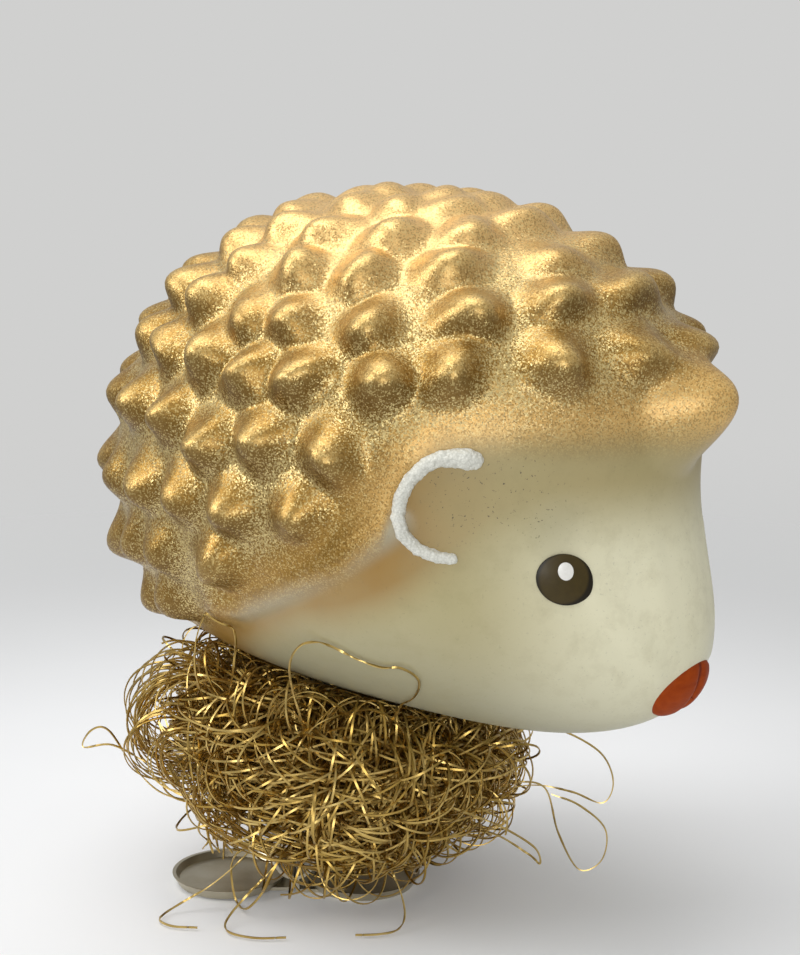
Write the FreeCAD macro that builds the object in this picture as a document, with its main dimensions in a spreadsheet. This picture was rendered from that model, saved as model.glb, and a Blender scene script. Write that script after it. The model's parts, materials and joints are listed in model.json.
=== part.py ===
import FreeCAD, Part
import math
import os
from FreeCAD import Vector

# A mouth-blown glass hedgehog on a spring clip, with a nest of crinkled gold wire round its neck.
# Row frame: millimetres, +Z up, +X towards the nose, origin on the ground under the neck's axis.

os.makedirs("parts", exist_ok=True)
doc = FreeCAD.newDocument("hedgehog_ornament")

# Driving dimensions, one named cell each. Lengths are in millimetres and angles in degrees.
SIZES = [
    # The blown body
    ("body_reach", 45.0), ("body_half_width", 33.4), ("body_forward", 13.0), ("belly_lift", 16.305),
    ("glass_wall", 0.62), ("neck_radius", 5.0), ("neck_foot_gap", 0.75), ("neck_flare", 4.0),
    ("spine_height", 3.7), ("spine_radius", 4.9), ("tuft_height", 7.6), ("tuft_radius", 9.5),
    ("fold_height", 0.3), ("fold_width", 2.4),
    # Enamel and glitter laid on the glass
    ("paint_gap", 0.1), ("eye_half_width", 3.5), ("eye_half_height", 3.15), ("eye_thick", 0.4),
    ("highlight_half_width", 0.95), ("highlight_half_height", 1.1), ("highlight_thick", 0.18),
    ("nose_half_width", 5.4), ("nose_half_height", 4.3), ("nose_thick", 0.35), ("enamel_edge", 0.12),
    ("ear_half_width", 8.0), ("ear_half_height", 6.9), ("bead_half_width", 0.85), ("bead_thick", 0.9),
    # The tin cup that holds the neck, its setting and its rivet
    ("setting_wall", 1.0), ("cup_wall", 0.4), ("cup_height", 7.0), ("cup_bead", 0.35),
    ("setting_depth", 5.2), ("seat_gap", 0.05),
    ("rivet_radius", 1.0), ("rivet_head_radius", 1.8), ("rivet_head_thick", 0.45),
    # The sprung clip, in its own frame: U along its opening, V along its hinge pin
    ("clip_turn", 35.0), ("clip_back", 7.1), ("clip_side", 3.0), ("leaf_gauge", 0.5), ("leaf_width", 9.0),
    ("foot_radius", 8.4), ("foot_flat_radius", 7.6), ("foot_height", 1.4), ("foot_gap", 2.7),
    ("foot_ease", 0.3), ("bite_gap", 0.3), ("twig_radius", 2.5), ("bite_over_foot", 0.6), ("lip_height", 0.6),
    ("shelf_gap", 1.4), ("tab_height", 3.4), ("tab_lean", 20.0),
    ("ear_radius", 1.7), ("ear_gap", 0.15), ("pin_radius", 0.75), ("pin_gap", 0.05),
    ("pin_head_radius", 1.3), ("pin_head_thick", 0.4),
    ("spring_wire", 0.5), ("spring_radius", 2.0), ("spring_leg", 2.3), ("spring_end_gap", 0.35),
    ("spring_floor_gap", 0.3), ("spring_side_gap", 0.45),
    # The nest of wire and its binding
    ("nest_tube", 2.7), ("nest_gap", 0.6), ("nest_drop", 0.15),
    ("curl_wire", 0.45), ("curl_gap", 0.7), ("curl_half_width", 5.6), ("curl_low", 3.4), ("curl_climb", 8.6),
    ("curl_belly_gap", 1.8), ("curl_jaw_lift", 8.2), ("binding_wire", 0.45), ("binding_pitch", 0.95),
    ("binding_gap", 0.35), ("binding_lift", 0.7), ("overrun", 1.0),
]
# Heights and radii that follow from the driving dimensions, from the ground up
LEVELS = [
    ("twig_height", "foot_height + bite_over_foot + leaf_gauge + twig_radius"),
    ("jog_height", "foot_height + bite_over_foot + leaf_gauge + 2 * twig_radius + lip_height"),
    ("riser_reach", "spring_radius + spring_wire / 2 + spring_side_gap"),
    ("hinge_height", "jog_height + leaf_gauge / 2 + spring_floor_gap + spring_wire / 2 + spring_radius"),
    ("spring_length", "leaf_width - 4 * leaf_gauge - 2 * ear_gap - 2 * spring_end_gap - spring_wire"),
    ("shelf_height", "hinge_height + ear_radius + shelf_gap"),
    ("cup_floor", "shelf_height + leaf_gauge + seat_gap"),
    ("cup_radius", "neck_radius + setting_wall + cup_wall + 2 * seat_gap"),
    ("cup_top", "cup_floor + cup_height"),
    ("head_low", "shelf_height - seat_gap - rivet_head_thick"),
    ("head_high", "cup_floor + cup_wall + seat_gap"),
    ("neck_foot", "head_high + rivet_head_thick + neck_foot_gap"),
    ("belly_level", "shelf_height + leaf_gauge + belly_lift"),
    ("nest_radius", "cup_radius + nest_gap + nest_tube"),
    ("nest_height", "cup_top - nest_drop"),
    ("curl_ring", "nest_radius + nest_tube + curl_gap + curl_half_width"),
    ("curl_top", "nest_height + curl_climb"),
    ("binding_height", "cup_top + cup_bead + binding_lift"),
]
sheet = doc.addObject("Spreadsheet::Sheet", "sizes")
for row, (alias, content) in enumerate(SIZES + LEVELS, start=1):
    sheet.set("A%d" % row, alias)
    sheet.set("B%d" % row, "=" + content if isinstance(content, str) else repr(content))
    sheet.setAlias("B%d" % row, alias)
doc.recompute()


def size(alias):
    """The value in the cell with this alias."""
    return float(sheet.get(alias))


# Counts, angles and shares, chosen by hand
PROFILE_SHARES = (0.889, 0.956, 0.933, 0.856, 0.811, 0.784, 0.778, 0.789, 0.811, 0.856, 0.911, 0.978,
                  1.022, 1.033, 1.000, 0.911, 0.811, 0.756, 0.751, 0.791, 0.889, 1.044, 1.167, 0.978)
DOWN_PLACE = 18
SNOUT_PINCH_SHARE = 0.28
SNOUT_ANGLE, SNOUT_SPREAD_ANGLE = 325.0, 45.0
# The rows of spines, from the lowest up: their elevations, and the gaps between spines in half a turn
SPINE_ROW_ANGLES = (-29, -16, -2, 12, 26, 38.5, 50, 62, 75, 82)
SPINE_ROW_COUNTS = (11, 11, 11, 11, 11, 9, 7, 6, 4, 1)
REAR_CROWDING_SHARE = 0.2
# Where the spines end, as azimuth from the nose and elevation
SPINE_EDGE_ANGLES = ((0, 20), (50, 19), (60, 14), (70, 7), (80, -6),
                     (95, -13), (110, -24), (130, -37), (180, -42))
SPINE_FADE_ANGLE = 7.0
LEAST_SPINE_SHARE = 0.05
RIDGE_SHARE = 0.8
SPINE_ROUNDNESS_SHARE, TUFT_ROUNDNESS_SHARE = 1.55, 2.0
INNER_SPINE_SHARE = 0.82
TUFT_ANGLES = (0.0, 15.0)
# The fold that runs from each ear down and back over the flank, and the one along each cheek
FLANK_FOLD_ANGLES = ((60, -3), (67, -8), (77, -15), (89, -22), (107, -30))
CHEEK_FOLD_ANGLES = ((21, -16), (17, -20), (13, -24), (10, -28))
EYE_ANGLES, EAR_ANGLES, NOSE_ANGLES = (27.0, -13.0), (46.5, 1.5), (0.0, -32.0)
HIGHLIGHT_UP_SHARE = 0.36
# The grids of the blown skins: rows up the straight neck and round its flare, and the whole grid
NECK_ROW_SHARES, FLARE_ROW_SHARES = (0, 0.3, 0.6, 0.85, 1.0), (0.25, 0.5, 0.75)
OUTER_GRID_COUNTS, INNER_GRID_COUNTS = (74, 148), (50, 100)
NECK_RING_ANGLE = 16.0
SEARCH_COUNT = 40
# An enamel patch: rows from its rim to its middle, and points round it
PATCH_ROW_SHARES, PATCH_COLUMN_COUNT = (1.0, 0.9, 0.7, 0.45, 0.2, 0.0), 24
# The dents between the nose's two lobes: their places and spreads round the outline, and their depths
NOSE_DENT_ANGLES, NOSE_DENT_SHARES = ((270.0, 22.0), (90.0, 25.0)), (0.2, 0.08)
# An ear's line of glitter glue runs from below, round the back, to a fatter end on top
EAR_ARC_ANGLES, EAR_STATION_COUNT, EAR_COLUMN_COUNT = (284.0, 72.0), 17, 12
FAT_END_SHARE, FAT_START_SHARE, END_SQUARENESS_SHARE = 0.35, 0.75, 8
SPRING_TURN_COUNT, BINDING_TURN_COUNT, CURL_COUNT = 5, 3, 24
# Points of a wire further apart along it than this many diameters belong to different turns
NEXT_TURN_SHARE = 8.0
NEARLY_ZERO_SHARE = 1e-9
SEW_SHARE = 0.001
# How the curls of loose wire differ: by how much each swings, and by what angle from one curl to the next
WOBBLE_ANGLES, SWAY_ANGLES = (137.5, 40.0), (223.5, 120.3)
CURL_WIDTH_SHARE, CURL_RING_SHARE, CURL_FOOT_SHARE, CURL_TOP_SHARE = 0.13, 0.03, 0.3, 0.3
JAW_SIDE_ANGLES = (95.0, 130.0, 250.0, 285.0)

body_reach, body_half_width = size("body_reach"), size("body_half_width")
CENTRE = Vector(size("body_forward"), 0, size("belly_level") + body_reach * PROFILE_SHARES[DOWN_PLACE])
UP = Vector(0, 0, 1)


def blend(low, high, share):
    """A smooth step from 0 at low to 1 at high."""
    share = min(1.0, max(0.0, (share - low) / (high - low)))
    return share * share * (3 - 2 * share)


def ring_spline(angle, values):
    """A uniform cubic B-spline round a closed ring of values."""
    place = (angle % 360.0) * len(values) / 360.0
    first, part = int(place), place - int(place)
    weights = ((1 - part) ** 3 / 6, (3 * part ** 3 - 6 * part ** 2 + 4) / 6,
               (-3 * part ** 3 + 3 * part ** 2 + 3 * part + 1) / 6, part ** 3 / 6)
    return sum(w * values[(first + k - 1) % len(values)] for k, w in enumerate(weights))


def direction_at(azimuth, elevation):
    """The unit vector at an azimuth from the nose towards the hedgehog's right, and an elevation."""
    flat = math.cos(math.radians(elevation))
    return Vector(flat * math.cos(math.radians(azimuth)), -flat * math.sin(math.radians(azimuth)),
                  math.sin(math.radians(elevation)))


def base_point(direction):
    """The smooth body under the spines, in a direction from its centre."""
    angle = math.degrees(math.atan2(direction.z, direction.x))
    flat, side = math.hypot(direction.x, direction.z), abs(direction.y)
    away = abs((angle - SNOUT_ANGLE + 180) % 360 - 180)
    pinch = SNOUT_PINCH_SHARE * math.exp(-(away / SNOUT_SPREAD_ANGLE) ** 2) * flat ** 3
    length = body_reach * ring_spline(angle, PROFILE_SHARES)
    width = body_half_width * (1 - pinch)
    return CENTRE + direction * (1 / math.sqrt((flat / length) ** 2 + (side / width) ** 2))


def spine_strength(azimuth, elevation):
    """1 where spines stand in full, 0 on the bare face and belly."""
    azimuth = abs(azimuth)
    for (start, low), (end, high) in zip(SPINE_EDGE_ANGLES, SPINE_EDGE_ANGLES[1:]):
        if azimuth <= end:
            edge = low + (high - low) * (azimuth - start) / (end - start)
            return blend(edge - SPINE_FADE_ANGLE, edge + SPINE_FADE_ANGLE, elevation)
    return 0.0


def make_spines():
    """The foot of each spine on the smooth body, with its strength."""
    spines = []
    for row, (elevation, gaps) in enumerate(zip(SPINE_ROW_ANGLES, SPINE_ROW_COUNTS)):
        half_on = row % 2 == 0
        for step in range(gaps if half_on else gaps + 1):
            share = (step + (0.5 if half_on else 0)) / gaps
            azimuth = 180.0 * (1 - share * (1 - REAR_CROWDING_SHARE * (1 - share)))
            strength = spine_strength(azimuth, elevation)
            for side in (1, -1):
                if strength > LEAST_SPINE_SHARE and (side == 1 or 0 < azimuth < 180):
                    spines.append((base_point(direction_at(side * azimuth, elevation)), strength))
    return spines


def bump(away, roundness):
    """A rounded point that falls from 1 at its middle to 0 at a distance of 1."""
    return (1 - away) ** 2 * (1 + roundness * away) if away < 1 else 0.0


def distance_to_line(point, line):
    """How far a point lies from a line of short runs."""
    nearest = []
    for start, end in zip(line, line[1:]):
        run = end - start
        along = min(1.0, max(0.0, (point - start).dot(run) / run.dot(run)))
        nearest.append((point - start - run * along).Length)
    return min(nearest)


spine_height, spine_radius = size("spine_height"), size("spine_radius")
tuft_height, tuft_radius = size("tuft_height"), size("tuft_radius")
fold_height, fold_width = size("fold_height"), size("fold_width")
spines = make_spines()
tuft_foot = base_point(direction_at(*TUFT_ANGLES))
fold_lines = [[base_point(direction_at(side * azimuth, elevation)) for azimuth, elevation in line]
              for line in (FLANK_FOLD_ANGLES, CHEEK_FOLD_ANGLES) for side in (1, -1)]


def rise_at(point, spine_share=1.0):
    """How far the blown relief stands off the smooth body at a point of it."""
    rise = tuft_height * bump((point - tuft_foot).Length / tuft_radius, TUFT_ROUNDNESS_SHARE)
    for foot, strength in spines:
        # A spine draws out into a ridge towards the parting plane, more so the nearer it stands to it
        across = point.y - foot.y
        if abs(across) > (1 + RIDGE_SHARE) * spine_radius:
            continue
        if abs(foot.y) < spine_radius or across * foot.y < 0:
            across /= 1 + RIDGE_SHARE * max(0.0, 1 - abs(foot.y) / body_half_width)
        away = math.sqrt(across ** 2 + (point.x - foot.x) ** 2 + (point.z - foot.z) ** 2) / spine_radius
        rise += strength * spine_height * spine_share * bump(away, SPINE_ROUNDNESS_SHARE)
    for line in fold_lines:
        rise += fold_height * max(0.0, 1 - (distance_to_line(point, line) / fold_width) ** 2) ** 2
    return rise


def skin_point(direction, lift=0.0):
    """The blown surface in a direction from the body's centre, raised by a lift along the direction."""
    point = base_point(direction)
    return point + direction * (rise_at(point) + lift)


def skin_frame(direction):
    """A point of the blown surface with level and upward unit directions across the view from the centre."""
    forward = direction.cross(UP).normalize()
    if forward.x < 0:
        forward = forward * -1
    return skin_point(direction), forward, (UP - direction * UP.dot(direction)).normalize()


def skin_normal(direction, spread):
    """The outward unit normal of the blown surface, taken over a small spread of directions."""
    side = UP.cross(direction).normalize() * spread
    rise = direction.cross(side).normalize() * spread
    level, upright = (skin_point((direction + way).normalize()) - skin_point((direction - way).normalize())
                      for way in (side, rise))
    return level.cross(upright).normalize()


def spline_face(rows, sharpen=True):
    """A face through rows of points that each run once round. The first and last rows are its ends."""
    count, around = len(rows), len(rows[0])
    poles = [list(row) for row in rows]
    if sharpen:
        # Poles overshoot the points a little, so that the cubic surface passes through them
        for i in range(2, count - 2):
            for j in range(around):
                here = rows[i][j]
                beside = rows[i - 1][j] + rows[i + 1][j] + rows[i][j - 1] + rows[i][(j + 1) % around]
                poles[i][j] = here - (beside - here * 4) / 6
    surface = Part.BSplineSurface()
    surface.buildFromPolesMultsKnots(poles, [4] + [1] * (count - 4) + [4], [1] * (around + 1),
                                     list(range(count - 2)), list(range(around + 1)), False, True, 3, 3)
    return surface.toShape()


def closed_solid(faces):
    """A solid inside faces that meet edge to edge."""
    shell = Part.makeShell(faces)
    if len(faces) > 1:
        shell.sewShape(size("paint_gap") * SEW_SHARE)
    solid = Part.Solid(shell if shell.ShapeType == "Shell" else shell.Shells[0])
    if solid.Volume < 0:
        solid.reverse()
    return solid


def rim_face(one, other):
    """The ruled face between the open ends of two spline faces."""
    rings = []
    for face in (one, other):
        closed = [edge for edge in face.Edges if edge.isClosed() and edge.Length > size("paint_gap")]
        rings.append(min(closed, key=lambda edge: edge.Length))
    return Part.makeRuledSurface(*rings)


def add_solid(name, shape):
    """A sub-part whose shape was worked out from the sheet's sizes."""
    item = doc.addObject("Part::Feature", name)
    item.Label = name
    item.Shape = shape
    item.Placement = FreeCAD.Placement()
    return item


def belly_height(x, y):
    """The height of the smooth underside over a point of the ground."""
    low, high = 0.0, CENTRE.z
    for _ in range(SEARCH_COUNT):
        middle = (low + high) / 2
        offset = Vector(x, y, middle) - CENTRE
        inside = offset.Length < (base_point(Vector(offset).normalize()) - CENTRE).Length
        low, high = (low, middle) if inside else (middle, high)
    return high


# The glass body: blown outer skin, inner skin one wall inside, and the cut rim of its neck
neck_radius, neck_foot, glass_wall = size("neck_radius"), size("neck_foot"), size("glass_wall")
neck_axis = (Vector(0, 0, belly_height(0, 0)) - CENTRE).normalize()
neck_side = Vector(0, 1, 0)
neck_front = neck_axis.cross(neck_side)


def glass_rows(grid, inset, spine_share):
    """Rows of points from the neck's cut rim, up its flare and over the body to the top."""
    count, around = grid
    radius = neck_radius - inset
    turns = [2 * math.pi * j / around for j in range(around)]
    ring = [Vector(radius * math.cos(turn), radius * math.sin(turn), 0) for turn in turns]
    top = [belly_height(p.x, p.y) + inset for p in ring]
    straight = min(top) - size("neck_flare")
    neck = [[Vector(p.x, p.y, neck_foot + (straight - neck_foot) * share) for p in ring]
            for share in NECK_ROW_SHARES]
    body = []
    steps = count - len(NECK_ROW_SHARES) - len(FLARE_ROW_SHARES) - 1
    for step in range(steps + 1):
        angle = math.radians(NECK_RING_ANGLE + (180 - NECK_RING_ANGLE) * step / steps)
        row = []
        for turn in turns:
            across = neck_front * math.cos(turn) + neck_side * math.sin(turn)
            direction = neck_axis * math.cos(angle) + across * math.sin(angle)
            point = base_point(direction)
            row.append(point + direction * (rise_at(point, spine_share) - inset))
        body.append(row)
    flare = []
    for share in FLARE_ROW_SHARES:
        row = []
        for start, p, height, end in zip(neck[-1], ring, top, body[0]):
            corner = Vector(p.x, p.y, height)
            row.append(start * (1 - share) ** 2 + corner * (2 * share * (1 - share)) + end * share ** 2)
        flare.append(row)
    body[-1] = [sum(body[-1], Vector()) / around] * around
    return neck + flare + body


outer_skin = spline_face(glass_rows(OUTER_GRID_COUNTS, 0, 1.0))
inner_skin = spline_face(glass_rows(INNER_GRID_COUNTS, glass_wall, INNER_SPINE_SHARE))
neck_rim = rim_face(outer_skin, inner_skin)
glass_body = add_solid("glass_body", closed_solid([outer_skin, inner_skin, neck_rim]))


def laid_patch(name, direction, outline, thick, rim, under=0.0):
    """A thin domed patch of enamel on the glass. outline gives its half width and height at an angle."""
    centre, forward, upward = skin_frame(direction)
    faces = []
    for top in (False, True):
        rows = []
        for share in PATCH_ROW_SHARES:
            row = []
            for j in range(PATCH_COLUMN_COUNT):
                wide, high = outline(360.0 * j / PATCH_COLUMN_COUNT)
                spot = centre + forward * (wide * share) + upward * (high * share)
                dome = rim + (thick - rim) * (1 - share ** 2) if top else 0.0
                row.append(skin_point((spot - CENTRE).normalize(), size("paint_gap") + under + dome))
            rows.append(row)
        faces.append(spline_face(rows, sharpen=False))
    return add_solid(name, closed_solid(faces + [rim_face(faces[0], faces[1])]))


def oval(half_width, half_height):
    """The outline of an oval patch, as a function of the angle round it."""
    def outline(angle):
        return half_width * math.cos(math.radians(angle)), half_height * math.sin(math.radians(angle))
    return outline


def nose_outline(angle):
    """The nose's outline: two lobes side by side, with a notch between them at the lower edge."""
    lobes = 1.0
    for (place, spread), depth in zip(NOSE_DENT_ANGLES, NOSE_DENT_SHARES):
        lobes -= depth * math.exp(-((angle - place) / spread) ** 2)
    return (size("nose_half_width") * lobes * math.cos(math.radians(angle)),
            size("nose_half_height") * lobes * math.sin(math.radians(angle)))


# Eyes, their highlights and the nose, in enamel
enamel_edge, eye_thick = size("enamel_edge"), size("eye_thick")
eye_outline = oval(size("eye_half_width"), size("eye_half_height"))
highlight_outline = oval(size("highlight_half_width"), size("highlight_half_height"))
for side, hand in ((1, "right"), (-1, "left")):
    eye_direction = direction_at(side * EYE_ANGLES[0], EYE_ANGLES[1])
    laid_patch("eye_enamel_" + hand, eye_direction, eye_outline, eye_thick, enamel_edge)
    lift = UP * (size("eye_half_height") * HIGHLIGHT_UP_SHARE)
    spot = (skin_point(eye_direction) + lift - CENTRE).normalize()
    laid_patch("eye_highlight_" + hand, spot, highlight_outline, size("highlight_thick"), enamel_edge / 2,
               under=eye_thick + size("paint_gap") / 2)
laid_patch("nose_enamel", direction_at(*NOSE_ANGLES), nose_outline, size("nose_thick"), enamel_edge)


def ear_bead(name, side):
    """A raised line of glitter glue in a C, open towards the face, fatter at its upper end."""
    centre, forward, upward = skin_frame(direction_at(side * EAR_ANGLES[0], EAR_ANGLES[1]))
    half_width, half_height = size("ear_half_width"), size("ear_half_height")
    bead, thick = size("bead_half_width"), size("bead_thick")
    step = 1 / (EAR_STATION_COUNT - 1)
    start, end = EAR_ARC_ANGLES

    def toward(share):
        angle = math.radians(start + (end - start) * share)
        spot = centre + forward * (half_width * math.cos(angle)) + upward * (half_height * math.sin(angle))
        return (spot - CENTRE).normalize()

    rows = []
    for station in range(EAR_STATION_COUNT):
        share = station * step
        outward = skin_normal(toward(share), bead / body_reach)
        ahead = skin_point(toward(min(1.0, share + step))) - skin_point(toward(max(0.0, share - step)))
        across = outward.cross(ahead).normalize()
        fat = 1 + FAT_END_SHARE * blend(FAT_START_SHARE, 1.0, share)
        fat *= math.sqrt(max(0.0, 1 - (2 * share - 1) ** END_SQUARENESS_SHARE))
        middle = skin_point(toward(share)) + outward * (size("paint_gap") + thick / 2)
        turns = [2 * math.pi * j / EAR_COLUMN_COUNT for j in range(EAR_COLUMN_COUNT)]
        wide, high = across * (bead * fat), outward * (fat * thick / 2)
        rows.append([middle + wide * math.cos(turn) + high * math.sin(turn) for turn in turns])
    # Two faces, which meet in the ring half way along
    half = EAR_STATION_COUNT // 2
    halves = [spline_face(rows[:half + 1], sharpen=False), spline_face(rows[half:], sharpen=False)]
    add_solid(name, closed_solid(halves))


ear_bead("ear_glitter_right", 1)
ear_bead("ear_glitter_left", -1)


# Parts made from primitives, with every size bound to the sheet
def bound(kind, name, **expressions):
    """A primitive whose properties follow expressions of the sheet's cells."""
    item = doc.addObject(kind, name)
    for prop, expression in expressions.items():
        item.setExpression(prop.replace("__", "."), expression)
    return item


def cylinder(name, radius, height, x="0", y="0", z="0", along="Z"):
    item = bound("Part::Cylinder", name, Radius=radius, Height=height,
                 Placement__Base__x=x, Placement__Base__y=y, Placement__Base__z=z)
    if along == "Y":
        item.Placement.Rotation = FreeCAD.Rotation(Vector(1, 0, 0), -90)
    return item


def box(name, length, width, height, x, y, z):
    return bound("Part::Box", name, Length=length, Width=width, Height=height,
                 Placement__Base__x=x, Placement__Base__y=y, Placement__Base__z=z)


def fuse(name, items):
    item = doc.addObject("Part::MultiFuse", name)
    item.Shapes = items
    return item


def cut(name, base, tool):
    item = doc.addObject("Part::Cut", name)
    item.Base, item.Tool = base, tool
    return item


def common(name, base, tool):
    item = doc.addObject("Part::Common", name)
    item.Base, item.Tool = base, tool
    return item


CLIP_X = "(-sizes.clip_back * cos(sizes.clip_turn * 1deg) + sizes.clip_side * sin(sizes.clip_turn * 1deg))"
CLIP_Y = "(-sizes.clip_back * sin(sizes.clip_turn * 1deg) - sizes.clip_side * cos(sizes.clip_turn * 1deg))"


def set_on_clip(item, name):
    """Turns a part from the clip's own frame into the row frame."""
    item.Label = name
    item.setExpression("Placement.Base.x", CLIP_X)
    item.setExpression("Placement.Base.y", CLIP_Y)
    item.setExpression("Placement.Rotation.Angle", "sizes.clip_turn * 1deg")


# The tin cup round the neck, with a rolled edge and a hole for its rivet
cup_wall = cylinder("cup_wall", "sizes.cup_radius", "sizes.cup_height", z="sizes.cup_floor")
cup_bead = bound("Part::Torus", "cup_bead", Radius1="sizes.cup_radius - sizes.cup_bead / 2",
                 Radius2="sizes.cup_bead", Placement__Base__z="sizes.cup_top")
cup_hollow = cylinder("cup_hollow", "sizes.cup_radius - sizes.cup_wall",
                      "sizes.cup_height + sizes.overrun", z="sizes.cup_floor + sizes.cup_wall")
cup_hole = cylinder("cup_hole", "sizes.rivet_radius + sizes.seat_gap", "sizes.cup_wall + 2 * sizes.overrun",
                    z="sizes.cup_floor - sizes.overrun")
cup_blank = fuse("cup_blank", [cup_wall, cup_bead])
cup_hollows = fuse("cup_hollows", [cup_hollow, cup_hole])
neck_cup = cut("neck_cup", cup_blank, cup_hollows)
neck_cup.Label = "neck_cup"

# The setting that holds the neck in the cup
SETTING_FOOT = "sizes.cup_top - sizes.setting_depth - sizes.cup_bead"
setting_ring = cylinder("setting_ring", "sizes.cup_radius - sizes.cup_wall - sizes.seat_gap",
                        "sizes.setting_depth", z=SETTING_FOOT)
setting_bore = cylinder("setting_bore", "sizes.neck_radius + sizes.seat_gap",
                        "sizes.setting_depth + 2 * sizes.overrun", z=SETTING_FOOT + " - sizes.overrun")
neck_setting = cut("neck_setting", setting_ring, setting_bore)
neck_setting.Label = "neck_setting"

# The rivet through the cup's floor and the clip's shelf
rivet_shank = cylinder("rivet_shank", "sizes.rivet_radius",
                       "sizes.head_high - sizes.head_low + sizes.rivet_head_thick", z="sizes.head_low")
rivet_heads = [cylinder("rivet_" + name, "sizes.rivet_head_radius", "sizes.rivet_head_thick",
                        z="sizes." + name)
               for name in ("head_low", "head_high")]
cup_rivet = fuse("cup_rivet", [rivet_shank] + rivet_heads)
cup_rivet.Label = "cup_rivet"


LEAF_LOW, LEAF_ACROSS = "-sizes.leaf_width / 2", "sizes.leaf_width + 2 * sizes.overrun"
RISER_BACK = "sizes.riser_reach + sizes.leaf_gauge"


def make_jaw(name, side, shelf):
    """One stamped leaf of the clip: dished foot, stem with a half-round bite, jog, riser, ears and top."""
    inner = "sizes.bite_gap / 2"

    def across(near, far):
        """The lowest U of a strip between two distances from the middle, on this leaf's side."""
        return "(%s)" % near if side > 0 else "-(%s)" % far

    # The dished foot. The moving leaf's is a little higher, so that the ornament stands on the fixed one.
    foot_z = "0" if shelf else "sizes.foot_ease"
    foot_u = "%d * (sizes.foot_gap / 2 + sizes.foot_radius)" % side
    blank = bound("Part::Cone", name + "_foot", Radius1="sizes.foot_flat_radius",
                  Radius2="sizes.foot_radius", Height="sizes.foot_height", Placement__Base__x=foot_u,
                  Placement__Base__z=foot_z)
    dish = bound("Part::Cone", name + "_dish", Radius1="sizes.foot_flat_radius - sizes.leaf_gauge / 2",
                 Radius2="sizes.foot_radius - sizes.leaf_gauge / 2", Height="sizes.foot_height",
                 Placement__Base__x=foot_u, Placement__Base__z=foot_z + " + sizes.leaf_gauge")
    toe = box(name + "_toe", "sizes.foot_gap / 2 + sizes.foot_radius - " + inner, "sizes.leaf_width",
              "sizes.leaf_gauge", across(inner, "sizes.foot_gap / 2 + sizes.foot_radius"), LEAF_LOW, foot_z)

    # The stem and its bite, then the jog out to the riser
    stem = box(name + "_stem", "sizes.leaf_gauge", "sizes.leaf_width",
               "sizes.jog_height + sizes.leaf_gauge / 2 - " + foot_z,
               across(inner, inner + " + sizes.leaf_gauge"), LEAF_LOW, foot_z)
    barrel = cylinder(name + "_barrel", "sizes.twig_radius + sizes.leaf_gauge", "sizes.leaf_width",
                      y=LEAF_LOW, z="sizes.twig_height", along="Y")
    keep_reach = "sizes.twig_radius + sizes.leaf_gauge + sizes.overrun"
    keep = box(name + "_keep", keep_reach, LEAF_ACROSS, "2 * (" + keep_reach + ")",
               across(inner, inner + " + " + keep_reach), LEAF_LOW + " - sizes.overrun",
               "sizes.twig_height - (" + keep_reach + ")")
    half_barrel = common(name + "_half_barrel", barrel, keep)
    jog = box(name + "_jog", RISER_BACK + " - " + inner, "sizes.leaf_width", "sizes.leaf_gauge",
              across(inner, RISER_BACK), LEAF_LOW, "sizes.jog_height - sizes.leaf_gauge / 2")
    top_z = "sizes.shelf_height + sizes.leaf_gauge" if shelf else "sizes.hinge_height + sizes.ear_radius"
    riser = box(name + "_riser", "sizes.leaf_gauge", "sizes.leaf_width",
                top_z + " - sizes.jog_height + sizes.leaf_gauge / 2", across("sizes.riser_reach", RISER_BACK),
                LEAF_LOW, "sizes.jog_height - sizes.leaf_gauge / 2")
    pieces = [cut(name + "_tray", blank, dish), stem, toe, half_barrel, jog, riser]
    bores = (("_twig_way", "sizes.twig_radius", "sizes.twig_height"),
             ("_pin_hole", "sizes.pin_radius + sizes.pin_gap", "sizes.hinge_height"))
    holes = [cylinder(name + tag, radius, LEAF_ACROSS, y=LEAF_LOW + " - sizes.overrun", z=height, along="Y")
             for tag, radius, height in bores]

    # Two ears turn in from the riser and hold the pin. The moving leaf's ears run inside the fixed leaf's.
    ear_out = "sizes.leaf_width / 2" if shelf else "sizes.leaf_width / 2 - sizes.leaf_gauge - sizes.ear_gap"
    for tag, low in (("_far_ear", ear_out + " - sizes.leaf_gauge"), ("_near_ear", "-(" + ear_out + ")")):
        tag = name + tag
        pieces.append(box(tag + "_web", "sizes.riser_reach", "sizes.leaf_gauge", "2 * sizes.ear_radius",
                          across("0", "sizes.riser_reach"), low, "sizes.hinge_height - sizes.ear_radius"))
        pieces.append(cylinder(tag + "_eye", "sizes.ear_radius", "sizes.leaf_gauge", y=low,
                               z="sizes.hinge_height", along="Y"))
    if shelf:
        # The shelf, with a round seat for the cup and a hole for its rivet
        pieces.append(box(name + "_shelf", "sizes.clip_back - sizes.riser_reach", "sizes.leaf_width",
                          "sizes.leaf_gauge", "sizes.riser_reach", LEAF_LOW, "sizes.shelf_height"))
        pieces.append(cylinder(name + "_seat", "sizes.cup_radius", "sizes.leaf_gauge",
                               x="sizes.clip_back", y="sizes.clip_side", z="sizes.shelf_height"))
        holes.append(cylinder(name + "_rivet_hole", "sizes.rivet_radius + sizes.seat_gap",
                              "sizes.leaf_gauge + 2 * sizes.overrun", x="sizes.clip_back",
                              y="sizes.clip_side", z="sizes.shelf_height - sizes.overrun"))
    else:
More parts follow.
